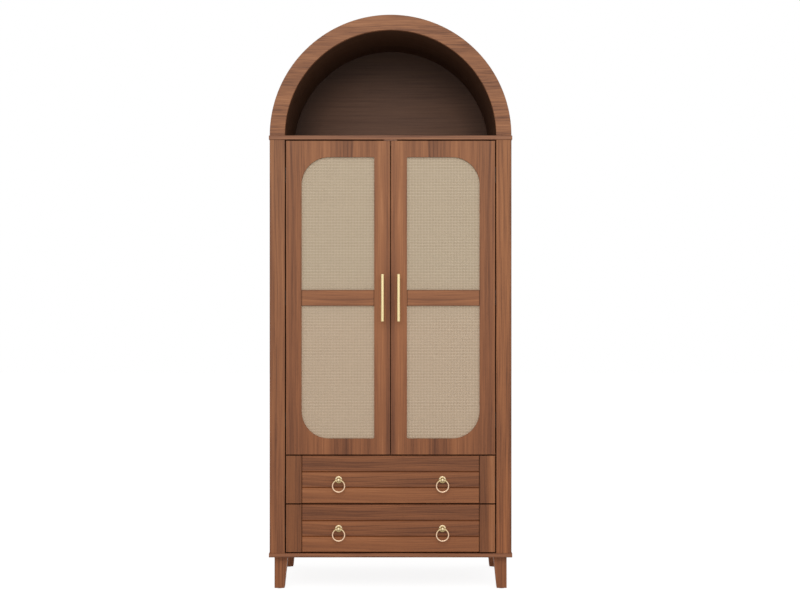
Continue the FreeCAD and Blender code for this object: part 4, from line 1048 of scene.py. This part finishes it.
def dress_walnut():
    for name, grain, seed, tone, *nodes in PLAIN_WALNUTS:
        dress(walnut(name, grain, seed, tone), *nodes)
    for side, seed, tone, bands in STILES:
        dress(stile_walnut(f"walnut_{side}_stile", seed, tone, bands), f"{side}_front_stile")
    dress(ring_walnut("walnut_arch_ring"), "arch_front_ring")
    dress(bottom_board_walnut("walnut_bottom_board"), "bottom_board")
    dress(niche_walnut("walnut_niche_back"), "niche_back_panel")
    dress(door_walnut("walnut_doors", DOOR_TONE), "left_door_frame", "right_door_frame")
    dress(mid_rail_walnut("walnut_mid_rails"), "left_door_mid_rail", "right_door_mid_rail")
    for drawer, bottom in DRAWER_BOTTOMS.items():
        dress(drawer_stile_walnut(f"walnut_{drawer}_stiles", bottom), f"{drawer}_front_stiles")
        dress(plank_walnut(f"walnut_{drawer}_planks", bottom), f"{drawer}_front_planks")
        dress(sub_front_walnut(f"walnut_{drawer}_sub_front", bottom), f"{drawer}_sub_front")


def dress_hidden_woods():
    dress(hardboard("hardboard_back", (118, 86, 62), (142, 106, 78)), "back_panel")
    pine = plain_wood("pine", "z", 27.0, (178, 140, 98), (205, 170, 126))
    dress(pine, "side_battens", "arch_ribs")
    for drawer in DRAWER_BOTTOMS:
        birch = plain_wood(f"{drawer}_birch", "y", 29.0, (196, 166, 126), (220, 194, 154))
        dress(birch, f"{drawer}_box_walls", f"{drawer}_bottom")


def dress_metals_and_plastics():
    for name, dark, light, rough, *nodes in METALS:
        dress(brushed_metal(name, dark, light, rough), *nodes)
    for drawer, bottom in DRAWER_BOTTOMS.items():
        dress(pull_brass(f"{drawer}_pull_brass", bottom), f"{drawer}_pull_mounts")
    dress(ring_brass("ring_brass"), "upper_left_pull_ring", "upper_right_pull_ring",
          "lower_left_pull_ring", "lower_right_pull_ring")
    for name, dark, light, rough, *nodes in PLASTICS:
        dress(plastic(name, dark, light, rough), *nodes)


def weave_cane():
    materials = [cane("cane_upright", "z", 1.0), cane("cane_level", "x", 2.0)]
    for side in ("left", "right"):
        for which in WINDOWS:
            woven_cane(side, which, materials)


# Floor, light and camera

WHITE = (1.0, 1.0, 1.0, 1.0)
FLOOR_GREY = (0.80, 0.80, 0.80, 1.0)
SEEN_FLOOR_GREY = (0.26, 0.26, 0.26, 1.0)
SEEN_FLOOR_GLOW = 0.89
FLOOR_HALF = 14.0
DOME_STRENGTH = 0.62
# Name, place, target, size and power
SOFTBOXES = (
    ("key_softbox", (-0.4, -3.4, 3.1), (0.0, 0.0, 1.3), 2.4, 54.0),
    ("fill_softbox", (1.6, -3.4, 1.8), (0.0, 0.0, 1.0), 2.0, 12.0),
)
LENS = 66.40
SENSOR_WIDTH = 36.0
CAMERA_SIDE = 0.031
CAMERA_DISTANCE = 4.85
CAMERA_HEIGHT = 0.952


def seen(g):
    """1 where the camera or a reflection sees the surface, 0 where it only lights others."""
    path = g.add("LightPath")
    reflected = g.math("MAXIMUM", path.outputs["Is Glossy Ray"],
                       path.outputs["Is Transmission Ray"])
    return g.math("MAXIMUM", path.outputs["Is Camera Ray"], reflected)


def floor_material():
    """Pale floor that shows white to the camera and keeps the object's shadow."""
    g = Graph("floor")
    plain = g.add("BsdfDiffuse", {"Color": FLOOR_GREY})
    faint = g.add("BsdfDiffuse", {"Color": SEEN_FLOOR_GREY})
    glow = g.add("Emission", {"Color": WHITE, "Strength": SEEN_FLOOR_GLOW})
    white = g.add("AddShader", {0: faint.outputs[0], 1: glow.outputs[0]})
    both = g.add("MixShader", {0: seen(g), 1: plain.outputs[0], 2: white.outputs[0]})
    return g.output("OutputMaterial", both)


def make_floor():
    near, far = -FLOOR_HALF, FLOOR_HALF
    data = bpy.data.meshes.new("floor")
    corner_points = [(near, near, 0.0), (far, near, 0.0), (far, far, 0.0), (near, far, 0.0)]
    data.from_pydata(corner_points, [], [(0, 1, 2, 3)])
    data.materials.append(floor_material())
    floor = bpy.data.objects.new("floor", data)
    bpy.context.scene.collection.objects.link(floor)


def light_the_room():
    """An even dome, white where the camera or a reflection sees it."""
    g = Graph("studio", bpy.data.worlds)
    strength = g.between(seen(g), 0.0, 1.0, DOME_STRENGTH, 1.0)
    background = g.add("Background", {"Color": WHITE, "Strength": strength})
    bpy.context.scene.world = g.output("OutputWorld", background)


def add_softboxes():
    for name, place, target, size, power in SOFTBOXES:
        light = bpy.data.lights.new(name, "AREA")
        light.shape = "SQUARE"
        light.size = size
        light.energy = power
        lamp = bpy.data.objects.new(name, light)
        lamp.location = place
        lamp.rotation_euler = (Vector(target) - Vector(place)).to_track_quat("-Z", "Y").to_euler()
        bpy.context.scene.collection.objects.link(lamp)


def add_camera():
    data = bpy.data.cameras.new("camera")
    data.lens = LENS
    data.sensor_width = SENSOR_WIDTH
    camera = bpy.data.objects.new("camera", data)
    camera.location = (CAMERA_SIDE, FACE_Y - CAMERA_DISTANCE, CAMERA_HEIGHT)
    camera.rotation_euler = (math.radians(90), 0.0, 0.0)
    bpy.context.scene.collection.objects.link(camera)
    bpy.context.scene.camera = camera


dress_walnut()
dress_hidden_woods()
dress_metals_and_plastics()
weave_cane()
add_small_screws()
make_floor()
light_the_room()
add_softboxes()
add_camera()
bpy.context.scene.view_settings.view_transform = "Standard"
